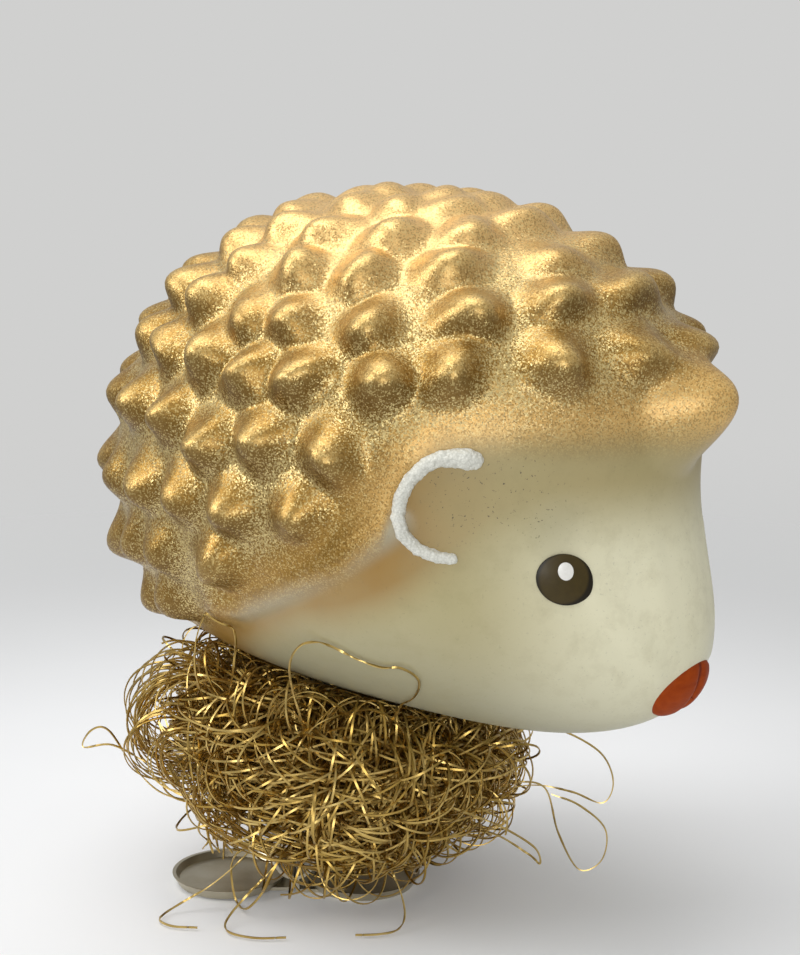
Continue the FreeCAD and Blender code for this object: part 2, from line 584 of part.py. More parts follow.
        # The thumb tab leans out from the top of the riser
        tab = box(name + "_tab", "sizes.leaf_gauge", "sizes.leaf_width", "sizes.tab_height",
                  across("sizes.riser_reach", RISER_BACK), LEAF_LOW, top_z + " - sizes.leaf_gauge")
        tab.Placement.Rotation = FreeCAD.Rotation(Vector(0, side, 0), size("tab_lean"))
        tab.setExpression("Placement.Rotation.Angle", "sizes.tab_lean * 1deg")
        pieces.append(tab)
    jaw = cut(name, fuse(name + "_blank", pieces), fuse(name + "_holes", holes))
    set_on_clip(jaw, name)
    return jaw


jaw_fixed = make_jaw("jaw_fixed", 1, True)
jaw_moving = make_jaw("jaw_moving", -1, False)

# The hinge pin, headed at both ends outside the fixed leaf's ears
PIN_END = "(sizes.leaf_width / 2 + sizes.ear_gap)"
pin_shank = cylinder("pin_shank", "sizes.pin_radius", "2 * " + PIN_END, y="-" + PIN_END,
                     z="sizes.hinge_height", along="Y")
pin_heads = [cylinder("pin_head_%d" % k, "sizes.pin_head_radius", "sizes.pin_head_thick", y=place,
                      z="sizes.hinge_height", along="Y")
             for k, place in enumerate((PIN_END, "-" + PIN_END + " - sizes.pin_head_thick"))]
hinge_pin = fuse("hinge_pin", [pin_shank] + pin_heads)
set_on_clip(hinge_pin, "hinge_pin")


def biarc(start, start_way, end, end_way):
    """Two arcs that leave start and reach end along the given unit directions, and meet smoothly."""
    gap = end - start
    square = 2 * (1 - start_way.dot(end_way))
    reach = gap.dot(start_way + end_way)
    if square < NEARLY_ZERO_SHARE:
        leg = gap.dot(gap) / (4 * gap.dot(end_way))
    else:
        leg = (-reach + math.sqrt(reach ** 2 + square * gap.dot(gap))) / square
    first, last = start + start_way * leg, end - end_way * leg
    joint = (first + last) / 2
    return [arc_edge(start, start_way, joint), arc_edge(joint, (last - first).normalize(), end)]


def arc_edge(start, way, end):
    """The arc from start to end that leaves along way."""
    chord = end - start
    normal = way.cross(chord)
    if normal.Length < NEARLY_ZERO_SHARE * chord.Length:
        return Part.LineSegment(start, end).toShape()
    inward = normal.cross(way).normalize()
    radius = chord.dot(chord) / (2 * chord.dot(inward))
    centre = start + inward * radius
    middle = (start + end) / 2 - centre
    if chord.dot(way) < 0:
        middle = middle * -1
    return Part.Arc(start, centre + middle.normalize() * abs(radius), end).toShape()


def least_gap(edges, diameter):
    """The least gap between one turn of a wire and the next, on points along it."""
    samples, travelled = [], 0.0
    for edge in edges:
        for point in edge.discretize(Number=max(2, int(edge.Length / diameter)))[:-1]:
            travelled += (point - samples[-1][1]).Length if samples else 0.0
            samples.append((travelled, point))
    nearest = diameter * NEXT_TURN_SHARE
    for first, (here, point) in enumerate(samples):
        for there, other in samples[first + 1:]:
            if there - here > diameter * NEXT_TURN_SHARE and abs(point.z - other.z) < nearest:
                nearest = min(nearest, (point - other).Length)
    return nearest - diameter


def wire_tube(name, points, diameter, lead):
    """One unbroken round wire through points, in tangent arcs, with straight ends. Prints its least gap."""
    ways = [(after - before).normalize() for before, after in zip(points, points[2:])]
    for place, chord, beside in ((0, points[1] - points[0], ways[0]),
                                 (len(points), points[-1] - points[-2], ways[-1])):
        # An end leaves its chord at the angle at which its neighbour meets it, as on a circle
        chord.normalize()
        ways.insert(place, chord * (2 * chord.dot(beside)) - beside)
    start = points[0] - ways[0] * lead
    edges = [Part.LineSegment(start, points[0]).toShape()]
    for k in range(len(points) - 1):
        edges += biarc(points[k], ways[k], points[k + 1], ways[k + 1])
    edges.append(Part.LineSegment(points[-1], points[-1] + ways[-1] * lead).toShape())
    spine = Part.Wire(edges)
    section = Part.Wire([Part.Circle(start, ways[0], diameter / 2).toShape()])
    shape = spine.makePipeShell([section], True, False)
    expected = math.pi * diameter ** 2 / 4 * spine.Length
    tightest = min(edge.Curve.Radius for edge in edges if hasattr(edge.Curve, "Radius"))
    print("%s: length %.1f, tightest bend %.2f, volume over section times length %.4f" %
          (name, spine.Length, tightest, shape.Volume / expected))
    print("%s: least gap to itself %.2f" % (name, least_gap(edges, diameter)))
    return add_solid(name, shape)


# The torsion spring on the pin: a coil, with a straight leg up behind each leaf
spring_radius, spring_length = size("spring_radius"), size("spring_length")
coil = []
quarters = 4 * SPRING_TURN_COUNT + 2
for quarter in range(quarters + 1):
    angle = math.pi / 2 * quarter
    along = spring_length * (quarter / quarters - 1 / 2)
    height = size("hinge_height") - spring_radius * math.sin(angle)
    coil.append(Vector(-spring_radius * math.cos(angle), along, height))
clip_spring = wire_tube("clip_spring", coil, size("spring_wire"), size("spring_leg"))
clip_turn = FreeCAD.Rotation(UP, size("clip_turn"))
clip_origin = clip_turn.multVec(Vector(-size("clip_back"), -size("clip_side"), 0))
clip_spring.Placement = FreeCAD.Placement(clip_origin, clip_turn)

# The packed middle of the nest, a plain ring round the cup
nest_core = bound("Part::Torus", "nest_core", Radius1="sizes.nest_radius", Radius2="sizes.nest_tube",
                  Placement__Base__z="sizes.nest_height")
nest_core.Label = "nest_core"

# The loose curls of the nest: one crinkled wire that winds round and round the packed middle
curl_ring, curl_half_width, belly_gap = size("curl_ring"), size("curl_half_width"), size("curl_belly_gap")
curl_points = []
for quarter in range(4 * CURL_COUNT):
    turn = 2 * math.pi * quarter / (4 * CURL_COUNT)
    wobble, sway = (math.sin(math.radians(swing * (quarter // 4) + start))
                    for swing, start in (WOBBLE_ANGLES, SWAY_ANGLES))
    ring = curl_ring * (1 + CURL_RING_SHARE * sway)
    wide = curl_half_width * (1 + CURL_WIDTH_SHARE * wobble)
    # The curls stay under the belly, and over the way of the opening leaf and of the twig behind
    ceiling = min(belly_height(reach * math.cos(turn), reach * math.sin(turn))
                  for reach in (ring - wide, ring, ring + wide))
    top = min(size("curl_top"), ceiling - belly_gap * (1 + CURL_TOP_SHARE * (1 + sway)))
    place = math.degrees(turn)
    over_jaw = blend(*JAW_SIDE_ANGLES[:2], place) - blend(*JAW_SIDE_ANGLES[2:], place)
    low = size("curl_low") + size("curl_jaw_lift") * over_jaw + belly_gap * CURL_FOOT_SHARE * (1 + wobble)
    angle = math.pi / 2 * quarter
    reach = ring + wide * math.cos(angle)
    height = (low + top) / 2 + (top - low) / 2 * math.sin(angle)
    curl_points.append(Vector(reach * math.cos(turn), reach * math.sin(turn), height))
wire_tube("wire_curls", curl_points, size("curl_wire"), size("curl_wire"))

# The binding wire that ties the nest to the neck over the cup
binding_wire, binding_pitch = size("binding_wire"), size("binding_pitch")
binding_radius = neck_radius + size("binding_gap") + binding_wire / 2
binding = []
for quarter in range(4 * BINDING_TURN_COUNT + 1):
    angle = math.pi / 2 * quarter
    binding.append(Vector(binding_radius * math.cos(angle), binding_radius * math.sin(angle),
                          size("binding_height") + binding_pitch * quarter / 4))
wire_tube("binding_wire", binding, binding_wire, binding_wire)

doc.recompute()

NODES = ["glass_body", "eye_enamel_right", "eye_enamel_left", "eye_highlight_right", "eye_highlight_left",
         "nose_enamel", "ear_glitter_right", "ear_glitter_left", "neck_cup", "neck_setting", "cup_rivet",
         "jaw_fixed", "jaw_moving", "hinge_pin", "clip_spring", "nest_core", "wire_curls", "binding_wire"]
failed = [item.Name for item in doc.Objects if "Invalid" in item.State or "Error" in item.State]
if failed:
    raise RuntimeError("failed to recompute: " + ", ".join(failed))
found = {item.Label: item for item in doc.Objects}
for node in NODES:
    shape = found[node].Shape
    if shape.isNull() or not shape.isValid() or not shape.Solids:
        raise RuntimeError("no valid solid in " + node)
for node in NODES:
    shape = found[node].Shape
    shape.exportStep("parts/%s.step" % node)
    print("%-20s %2d solid, %9.2f mm3" % (node, len(shape.Solids), shape.Volume))
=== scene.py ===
import bpy
import json
import math
import numpy as np
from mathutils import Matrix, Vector


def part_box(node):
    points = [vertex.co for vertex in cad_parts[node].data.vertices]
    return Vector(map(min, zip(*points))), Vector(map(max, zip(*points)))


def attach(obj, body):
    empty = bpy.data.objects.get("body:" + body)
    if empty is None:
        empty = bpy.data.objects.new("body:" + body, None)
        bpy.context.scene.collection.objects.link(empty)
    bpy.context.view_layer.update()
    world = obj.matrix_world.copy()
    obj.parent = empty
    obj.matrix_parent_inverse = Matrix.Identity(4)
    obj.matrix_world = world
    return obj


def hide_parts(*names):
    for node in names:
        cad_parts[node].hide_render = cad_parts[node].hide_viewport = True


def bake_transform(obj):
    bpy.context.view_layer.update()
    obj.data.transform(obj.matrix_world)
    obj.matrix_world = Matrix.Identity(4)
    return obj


# A mouth-blown glass hedgehog on a spring clip, with a nest of crinkled gold wire round its neck.
# Metres, in the row frame: +Z up, +X towards the nose, origin on the ground under the neck.

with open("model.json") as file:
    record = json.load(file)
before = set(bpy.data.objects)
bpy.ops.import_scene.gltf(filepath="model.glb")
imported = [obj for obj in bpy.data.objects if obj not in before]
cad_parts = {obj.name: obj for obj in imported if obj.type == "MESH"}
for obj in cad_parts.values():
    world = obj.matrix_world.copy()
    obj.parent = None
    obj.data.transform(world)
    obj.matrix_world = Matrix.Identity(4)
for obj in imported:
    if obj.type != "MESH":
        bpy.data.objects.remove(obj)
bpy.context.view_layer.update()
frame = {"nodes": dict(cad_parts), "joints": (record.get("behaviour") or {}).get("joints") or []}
MM = 0.001

# The glass body: blown in a two-part mould from one bubble of thin glass, so the spines are blunt cones that
# droop and draw out into ridges towards the parting plane. Its neck is the tube that it was blown on.
body_reach, body_half_width = 45.0 * MM, 33.4 * MM
body_centre = np.array((13.0, 0.0, 64.6)) * MM
neck_radius, neck_flare, neck_ring_angle, flare_top = 5.0 * MM, 4.0 * MM, 16.0, 31.0 * MM
spine_height, spine_radius, spine_unevenness, foot_unevenness = 3.5 * MM, 5.7 * MM, 0.14, 0.6 * MM
weakest_spine, spine_droop, mound_share, tip_radius, tip_power = 0.05, 1.1 * MM, 0.5, 2.9 * MM, 2.6
warp_reach, warp_length, valley_fill = 0.45 * MM, 12.0 * MM, 0.7 * MM
tuft_height, tuft_radius, tuft_angles = 7.6 * MM, 9.5 * MM, (0.0, 15.0)
fold_heights, fold_width = (0.55 * MM, 0.4 * MM, 0.22 * MM), 2.6 * MM
socket_depth, socket_radius = 0.5 * MM, 5.6 * MM
profile_shares = (0.889, 0.956, 0.933, 0.856, 0.811, 0.784, 0.778, 0.789, 0.811, 0.856, 0.911, 0.978,
                  1.022, 1.033, 1.000, 0.911, 0.811, 0.756, 0.751, 0.791, 0.889, 1.044, 1.167, 0.978)
snout_angle, snout_spread, snout_pinch_share = 325.0, 45.0, 0.28
spine_row_angles = (-29, -16, -2, 12, 26, 38.5, 50, 62, 75, 82)
spine_row_counts = (11, 11, 11, 11, 11, 9, 7, 6, 4, 1)
spine_strength_limits, rear_crowding_share, ridge_share, merge_power = (0.75, 1.2), 0.2, 0.8, 4
crown_fall, crown_from, crown_to = 0.4, 42, 72
# Azimuth from the nose and elevation, seen from the body's centre, and how far an edge fades, all in degrees
spine_edge_angles = ((0, 20), (50, 19), (60, 14), (70, 7), (80, -6), (95, -13), (110, -24), (130, -37),
                     (180, -42))
coat_edge_angles = ((0, 9), (10, 11), (21, 12), (32, 13), (43, 14), (51, 14), (57, 9), (61, 1), (63, -6),
                    (73, -16), (87, -21), (107, -30), (137, -40), (180, -44))
blush_edge_angles = ((0, 9), (30, 10), (42, 4), (52, -4), (62, -11), (73, -17), (87, -21), (107, -30),
                     (137, -40), (180, -44))
flank_fold_angles = ((60, -3), (67, -8), (77, -15), (89, -22), (107, -30))
cheek_fold_angles = ((21, -16), (17, -20), (13, -24), (10, -28))
face_ridge_angles, socket_angles = ((10, -8), (9, -15), (8, -22)), (27.0, -4.0)
spine_fade, fill_fade, coat_fade, under_fade, blush_fade = 7.0, 10.0, 5.0, 8.0, 18.0
body_rings, body_segments = 224, 444


def direction_at(azimuth, elevation):
    """Unit vectors at azimuths from the nose towards the hedgehog's right, and elevations."""
    azimuth, elevation = np.radians(azimuth), np.radians(elevation)
    flat = np.cos(elevation)
    return np.stack((flat * np.cos(azimuth), -flat * np.sin(azimuth), np.sin(elevation) + 0 * azimuth), -1)


def unit(vectors):
    return vectors / np.linalg.norm(vectors, axis=-1, keepdims=True)


def base_reach(directions):
    """How far the smooth body reaches from its centre in each direction."""
    angle = np.degrees(np.arctan2(directions[..., 2], directions[..., 0]))
    flat, side = np.hypot(directions[..., 0], directions[..., 2]), np.abs(directions[..., 1])
    away = np.abs((angle - snout_angle + 180) % 360 - 180)
    width = body_half_width * (1 - snout_pinch_share * np.exp(-(away / snout_spread) ** 2) * flat ** 3)
    place = (angle % 360) * len(profile_shares) / 360
    first = np.floor(place).astype(int)
    part = place - first
    weights = ((1 - part) ** 3 / 6, (3 * part ** 3 - 6 * part ** 2 + 4) / 6,
               (-3 * part ** 3 + 3 * part ** 2 + 3 * part + 1) / 6, part ** 3 / 6)
    shares = np.array(profile_shares)
    length = body_reach * sum(w * shares[(first + k - 1) % len(shares)] for k, w in enumerate(weights))
    return 1 / np.sqrt((flat / length) ** 2 + (side / width) ** 2)


def base_point(directions):
    return body_centre + directions * base_reach(directions)[..., None]


def step_between(low, high, values):
    share = np.clip((values - low) / (high - low), 0, 1)
    return share * share * (3 - 2 * share)


def over_edge(points, edge_angles, fade):
    """From 0 below an edge drawn round the body to 1 above it, over a fade in degrees each way."""
    away = points - body_centre
    azimuth = np.degrees(np.arctan2(np.abs(away[..., 1]), away[..., 0]))
    elevation = np.degrees(np.arctan2(away[..., 2], np.hypot(away[..., 0], away[..., 1])))
    edge = np.interp(azimuth, [a for a, _ in edge_angles], [e for _, e in edge_angles])
    return step_between(-fade, fade, elevation - edge)


def near_lines(points, angles, width):
    """From 1 on a line drawn on both sides of the body to 0 at a width from it."""
    found = np.zeros(len(points))
    for side in (1, -1):
        azimuths, elevations = np.array(angles, dtype=float).T
        line = base_point(direction_at(side * azimuths, elevations))
        for start, end in zip(line, line[1:]):
            run = end - start
            along = np.clip((points - start) @ run / (run @ run), 0, 1)
            away = np.linalg.norm(points - start - along[:, None] * run, axis=1) / width
            found = np.maximum(found, np.clip(1 - away ** 2, 0, 1) ** 2)
    return found


chance = np.random.default_rng(3)
spine_feet, spine_strengths = [], []
for row, (elevation, gaps) in enumerate(zip(spine_row_angles, spine_row_counts)):
    half_on = row % 2 == 0
    crown_share = 1 - crown_fall * float(step_between(crown_from, crown_to, elevation))
    for place in range(gaps if half_on else gaps + 1):
        share = (place + (0.5 if half_on else 0)) / gaps
        azimuth = 180 * (1 - share * (1 - rear_crowding_share * (1 - share)))
        for side in (1, -1):
            if side == 1 or 0 < azimuth < 180:
                foot = base_point(direction_at(side * azimuth, elevation))
                spine_feet.append(foot + chance.normal(0, foot_unevenness, 3))
                strength = float(over_edge(foot, spine_edge_angles, spine_fade)) * crown_share
                unevenness = float(np.clip(chance.normal(1, spine_unevenness), *spine_strength_limits))
                spine_strengths.append(strength * unevenness)
tuft_foot = base_point(direction_at(*tuft_angles))


def near_socket(points):
    """From 1 in the middle of the shallow hollow over each eye to 0 at its edge."""
    found = np.zeros(len(points))
    for side in (1, -1):
        middle = base_point(direction_at(side * socket_angles[0], socket_angles[1]))
        away = np.linalg.norm(points - middle, axis=1) / socket_radius
        found = np.maximum(found, np.clip(1 - away ** 2, 0, 1) ** 2)
    return found


def warped(points):
    """Points shifted a little each way, so that no two spines have the same outline."""
    turn = 2 * math.pi / warp_length
    wave = np.sin(points[:, (2, 0, 1)] * turn * 0.6)
    return points + warp_reach * np.sin(points[:, (1, 2, 0)] * turn + 2 * wave)


def relief(points):
    """How far the blown relief stands off the smooth body, and how near each point is to a spine's tip."""
    shifted = warped(points)
    away = np.linalg.norm(points - tuft_foot, axis=1) / tuft_radius
    rise = tuft_height * np.clip(1 - away, 0, 1) ** 2 * (1 + 2 * away)
    spiny, raised = np.clip(1 - away, 0, 1), 0 * away
    for foot, strength in zip(spine_feet, spine_strengths):
        if strength < weakest_spine:
            continue
        near = shifted - foot
        outward = unit(foot - body_centre)
        downhill = outward * outward[2] - (0, 0, 1)
        sag = spine_droop * np.clip(1 - np.linalg.norm(near, axis=1) / spine_radius, 0, 1)
        near = near - downhill * sag[:, None]
        ridge = 1 + ridge_share * max(0.0, 1 - abs(foot[1]) / body_half_width)
        inward = (abs(foot[1]) < spine_radius) | (near[:, 1] * foot[1] < 0)
        across = np.where(inward, near[:, 1] / ridge, near[:, 1])
        reach = np.sqrt(across ** 2 + near[:, 0] ** 2 + near[:, 2] ** 2)
        away = np.minimum(reach / spine_radius, 1)
        knob = mound_share * (1 - away ** 2) ** 2
        knob = knob + (1 - mound_share) * np.exp(-(reach / tip_radius) ** tip_power)
        raised = raised + (strength * spine_height * knob) ** merge_power
        spiny = np.maximum(spiny, strength * (1 - away))
    rise = rise + raised ** (1 / merge_power) + valley_fill * over_edge(points, spine_edge_angles, fill_fade)
    for height, line in zip(fold_heights, (flank_fold_angles, cheek_fold_angles, face_ridge_angles)):
        rise = rise + height * near_lines(points, line, fold_width)
    return rise - socket_depth * near_socket(points), spiny


def turn_faces_outwards():
    """Makes every face of the active piece point outwards."""
    bpy.ops.object.mode_set(mode="EDIT")
    bpy.ops.mesh.select_all(action="SELECT")
    bpy.ops.mesh.normals_make_consistent(inside=False)
    bpy.ops.object.mode_set(mode="OBJECT")


bpy.ops.object.select_all(action="DESELECT")
bpy.ops.mesh.primitive_uv_sphere_add(segments=body_segments, ring_count=body_rings, radius=1)
glass = bpy.context.object
glass.name = "blown_glass_body"
places = np.array([v.co for v in glass.data.vertices])
neck_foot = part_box("glass_body")[0].z
neck_way = unit(np.array((0.0, 0.0, flare_top)) - body_centre)
side_way = np.array((0.0, 1.0, 0.0))
front_way = np.cross(neck_way, side_way)
polar = np.degrees(np.arccos(np.clip(places[:, 2], -1, 1)))
turn = np.arctan2(places[:, 1], places[:, 0])
swept = np.maximum(polar, neck_ring_angle)
across = front_way * np.cos(turn)[:, None] + side_way * np.sin(turn)[:, None]
directions = neck_way * np.cos(np.radians(swept))[:, None] + across * np.sin(np.radians(swept))[:, None]
smooth = base_point(directions)
rise, spiny = relief(smooth)
skin = smooth + directions * rise[:, None]

# The neck takes the rings nearest the lower pole: its cut end, the straight tube, and the flare that bends
# into the body. The shares are those of the neck's ring angle at which the tube and the flare begin.
cut_share, flare_share = 0.12, 0.72
in_neck = polar < neck_ring_angle
share = polar / neck_ring_angle
ring = np.stack((np.cos(turn), np.sin(turn), 0 * turn), -1) * neck_radius
straight_top = flare_top - neck_flare
climb = np.clip((share - cut_share) / (flare_share - cut_share), 0, 1)
tube = ring + np.stack((0 * turn, 0 * turn, neck_foot + (straight_top - neck_foot) * climb), -1)
tube[:, :2] *= np.clip(share / cut_share, 0, 1)[:, None]
bend = np.clip((share - flare_share) / (1 - flare_share), 0, 1)[:, None]
tube_end, corner = (ring + np.array((0, 0, 1)) * height for height in (straight_top, flare_top))
flare = tube_end * (1 - bend) ** 2 + corner * 2 * bend * (1 - bend) + skin * bend ** 2
skin = np.where(in_neck[:, None], np.where(bend > 0, flare, tube), skin)
glass.data.vertices.foreach_set("co", skin.ravel())
turn_faces_outwards()
bpy.ops.object.shade_smooth()

# Where each coat of paint lies, and where shade and highlights are painted onto the glass, as values at the
# points of the glass. Heights and azimuths are in degrees
normals = np.zeros(len(skin) * 3)
glass.data.vertices.foreach_get("normal", normals)
normals = normals.reshape(-1, 3)
away = skin - body_centre
height = np.degrees(np.arctan2(away[:, 2], np.hypot(away[:, 0], away[:, 1])))
azimuth = np.degrees(np.arctan2(np.abs(away[:, 1]), away[:, 0]))
gold = over_edge(smooth, coat_edge_angles, coat_fade)
coats = {
    "gold": gold,
    "valley": np.clip(1 - spiny * 2.0, 0, 1) * over_edge(smooth, spine_edge_angles, coat_fade)
    * (1 - step_between(48, 66, height)),
    # Painted shade: the gold's downward-facing undersides are painted darker brown
    "under": step_between(0.5, -0.5, normals[:, 2]) * over_edge(smooth, spine_edge_angles, under_fade),
    "apron": gold * (1 - over_edge(smooth, spine_edge_angles, spine_fade)) * step_between(75, 55, azimuth),
    # Painted highlight: each spine's tip is painted lighter
    "tip": step_between(0.45, 0.85, spiny) * over_edge(smooth, spine_edge_angles, coat_fade),
    # Painted shade: the lower body is painted darker
    "below": step_between(-15, -55, height),
    # Painted shade: the hollow over each eye is painted darker
    "socket": near_socket(smooth),
    "snout": step_between(48, 14, azimuth) * step_between(6, -12, height)
    * (1 - 0.6 * step_between(-38, -60, height)),
    # Painted highlight: the upper body is painted lighter gold
    "lit_crown": step_between(28, 68, height),
    "blush": np.clip(over_edge(smooth, blush_edge_angles, blush_fade) * 3.5, 0, 1)
    * (0.25 + 0.75 * step_between(34, 64, azimuth))
    + 0.6 * step_between(105, 150, azimuth) * step_between(-78, -45, height),
    "crease": near_lines(smooth, flank_fold_angles, 3.2 * MM),
    "specks": step_between(22, 34, azimuth) * step_between(58, 50, azimuth) * step_between(-8, -2, height)
    * step_between(13, 8, height),
}
for name, values in coats.items():
    layer = glass.data.attributes.new(name, "FLOAT", "POINT")
    layer.data.foreach_set("value", values.astype(np.float32))


def linear(colour):
    """A linear RGBA colour from an sRGB hex colour."""
    parts = [int(colour[k:k + 2], 16) / 255 for k in (1, 3, 5)]
    return tuple(c / 12.92 if c <= 0.04045 else ((c + 0.055) / 1.055) ** 2.4 for c in parts) + (1.0,)


def feed(tree, socket, value):
    """Sets a socket, or links it from another socket or from a node's first output in use."""
    if isinstance(value, bpy.types.Node):
        value = next(output for output in value.outputs if output.enabled)
    if isinstance(value, bpy.types.NodeSocket):
        tree.links.new(value, socket)
    else:
        socket.default_value = value


def add_node(tree, kind, *values, sockets=None, **settings):
    """A node with its settings. Values and links go to its sockets in use in order, or to those named."""
    made = tree.nodes.new("ShaderNode" + kind)
    for name, value in settings.items():
        setattr(made, name, value)
    for socket, value in zip([socket for socket in made.inputs if socket.enabled], values):
        feed(tree, socket, value)
    for name, value in (sockets or {}).items():
        feed(tree, made.inputs[name], value)
    return made


def new_material(name, **sockets):
    """A material with one Principled shader, its uniform sockets set on the shader itself."""
    material = bpy.data.materials.new(name)
    material.use_nodes = True
    shader = material.node_tree.nodes["Principled BSDF"]
    for socket, value in sockets.items():
        shader.inputs[socket.replace("_", " ")].default_value = value
    return material, material.node_tree, shader


def painted(tree, under, *layers):
    """A colour under layers of paint, each given as where it lies, how fully it covers, and its colour."""
    colour = linear(under)
    for where, cover, paint in layers:
        factor = add_node(tree, "Math", where, cover, operation="MULTIPLY", use_clamp=True)
        colour = add_node(tree, "Mix", factor, colour, linear(paint), data_type="RGBA")
    return colour


# Lacquered glass: cream pearl lacquer, airbrushed with orange, then satin gold lacquer over the spines.
# The gold is full of fine flakes, which settled thickest in the valleys. Its undersides are painted darker brown
# as painted shade, and its upper part and each spine's tip lighter as painted highlights. The lower body and the
# hollow over each eye are painted darker as painted shade. The flakes are drawn coarser than the real ones, so
# that they show.
cloud_size, patch_size, edge_size, stain_size = 14 * MM, 3.2 * MM, 1.2 * MM, 3.4 * MM
dot_size, fine_size, flake_size, peel_height = 0.42 * MM, 0.22 * MM, 0.17 * MM, 0.12 * MM
lacquer, tree, shader = new_material("lacquered_blown_glass", IOR=1.5, Coat_Weight=0.12, Coat_Roughness=0.22)
place = add_node(tree, "TexCoord").outputs["Object"]
coat = {name: add_node(tree, "Attribute", attribute_name=name).outputs["Fac"] for name in coats}
cloudy = add_node(tree, "TexNoise", place, 1 / cloud_size, 3.0)
patchy = add_node(tree, "TexNoise", place, 1 / patch_size, 3.0)
fine = add_node(tree, "TexNoise", place, 1 / fine_size, 2.0, 0.7)
stain = add_node(tree, "MapRange", add_node(tree, "TexNoise", place, 1 / stain_size, 6.0, 0.68), 0.48, 0.74)
wash = add_node(tree, "Math", cloudy, 0.8, 0.42, operation="MULTIPLY_ADD")
wash = add_node(tree, "Math", wash, coat["blush"], operation="MULTIPLY")
dots = add_node(tree, "TexNoise", place, 1 / dot_size, 3.0, 0.6)
dots = add_node(tree, "Math", dots, 0.655, operation="GREATER_THAN")
dotted = add_node(tree, "Math", coat["specks"], patchy, 0.1, operation="MULTIPLY_ADD")
dots = add_node(tree, "Math", dots, dotted, operation="MULTIPLY")
# The cream, with painted shade over the lower body and over the hollow above each eye
pale = painted(tree, "#aea475", (cloudy, 1, "#bcb287"), (coat["snout"], 1, "#ebe7c8"),
               (coat["below"], 0.85, "#a09d85"), (wash, 1, "#9b742f"), (coat["crease"], 0.75, "#aeab97"),
               (stain, 0.22, "#94885d"), (coat["socket"], 0.25, "#a29d80"), (dots, 1.4, "#5a5340"))
flakes = add_node(tree, "TexVoronoi", place, 1 / flake_size).outputs["Color"]
flake_chances = add_node(tree, "SeparateColor", flakes).outputs
scatter = add_node(tree, "Math", patchy, 0.62, operation="MULTIPLY")
scatter = add_node(tree, "Math", coat["valley"], 0.8, scatter, operation="MULTIPLY_ADD")
barrier = add_node(tree, "Math", flake_chances[0], 0.3, operation="ADD")
flaked = add_node(tree, "Math", scatter, barrier, operation="GREATER_THAN")
flake_cover = add_node(tree, "Math", flake_chances[1], 0.1, operation="ADD")
flake_cover = add_node(tree, "Math", flaked, flake_cover, operation="MULTIPLY")
bright_grain = add_node(tree, "Math", flake_chances[2], 0.8, operation="GREATER_THAN")
dark_grain = add_node(tree, "Math", flake_chances[2], 0.26, operation="LESS_THAN")
# The gold, with painted highlights on the upper body and on each spine's tip, and painted shade on the undersides
gilded = painted(tree, "#9f7830", (coat["lit_crown"], 1, "#ffd48d"), (coat["apron"], 1, "#f0c275"),
                 (coat["tip"], 0.6, "#e2c17c"), (coat["under"], 0.92, "#573e10"), (fine, 0.3, "#d2ae68"),
                 (flake_cover, 1, "#ddc98c"), (bright_grain, 0.4, "#f1da96"), (dark_grain, 0.42, "#6a4a14"))
edge_noise = add_node(tree, "TexNoise", place, 1 / edge_size, 4.0)
edge_noise = add_node(tree, "Math", edge_noise, 0.5, -0.25, operation="MULTIPLY_ADD")
gold = coat["gold"]
covered = add_node(tree, "Math", edge_noise, gold, gold, operation="MULTIPLY_ADD", use_clamp=True)
feed(tree, shader.inputs["Base Color"], add_node(tree, "Mix", covered, pale, gilded, data_type="RGBA"))
shine = add_node(tree, "Math", coat["apron"], -0.5, 0.82, operation="MULTIPLY_ADD")
shine = add_node(tree, "Math", flaked, -0.22, shine, operation="MULTIPLY_ADD", use_clamp=True)
feed(tree, shader.inputs["Metallic"], add_node(tree, "Math", covered, shine, operation="MULTIPLY"))
satin = add_node(tree, "Math", flaked, -0.05, operation="MULTIPLY")
feed(tree, shader.inputs["Roughness"], add_node(tree, "Math", covered, satin, 0.41, operation="MULTIPLY_ADD"))
# Each flake leans its own way, and the lacquer has a faint orange peel
lean = add_node(tree, "Math", flaked, 0.26, 0.18, operation="MULTIPLY_ADD")
lean = add_node(tree, "Math", lean, gold, operation="MULTIPLY")
tilt = add_node(tree, "VectorMath", flakes, (0.5, 0.5, 0.5), operation="SUBTRACT")
tilt = add_node(tree, "VectorMath", tilt, lean, operation="SCALE")
peel = add_node(tree, "Bump", sockets={"Height": patchy, "Strength": 0.3, "Distance": peel_height})
tilted = add_node(tree, "VectorMath", peel, tilt, operation="ADD")
feed(tree, shader.inputs["Normal"], add_node(tree, "VectorMath", tilted, operation="NORMALIZE"))
glass.data.materials.append(lacquer)
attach(glass, "root")
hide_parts("glass_body")

# The eyes and nose: thick glossy enamel, laid on by hand with a brush, so it is streaky, and it dries darker
# round the rim of each eye. The crease of the nose is painted darker as painted shade.
eye_angles, eye_rim_from, eye_rim_to, eye_streak_size = (27.0, -13.0), 3.0 * MM, 3.35 * MM, 0.9 * MM
eye_middle = tuple(abs(c) for c in base_point(direction_at(*eye_angles)))
eye_paint, tree, shader = new_material("brown_eye_enamel", Roughness=0.3, IOR=1.5, Specular_IOR_Level=0.3,
                                       Coat_Weight=0.06, Coat_Roughness=0.1)
place = add_node(tree, "TexCoord").outputs["Object"]
streaks = add_node(tree, "TexNoise", place, 1 / eye_streak_size, 3.0)
both_sides = add_node(tree, "VectorMath", place, operation="ABSOLUTE")
ring = add_node(tree, "VectorMath", both_sides, eye_middle, operation="DISTANCE")
rim = add_node(tree, "MapRange", ring, eye_rim_from, eye_rim_to)
feed(tree, shader.inputs["Base Color"],
     painted(tree, "#4a3d19", (streaks, 1, "#3b3014"), (rim, 1, "#1e180a")))


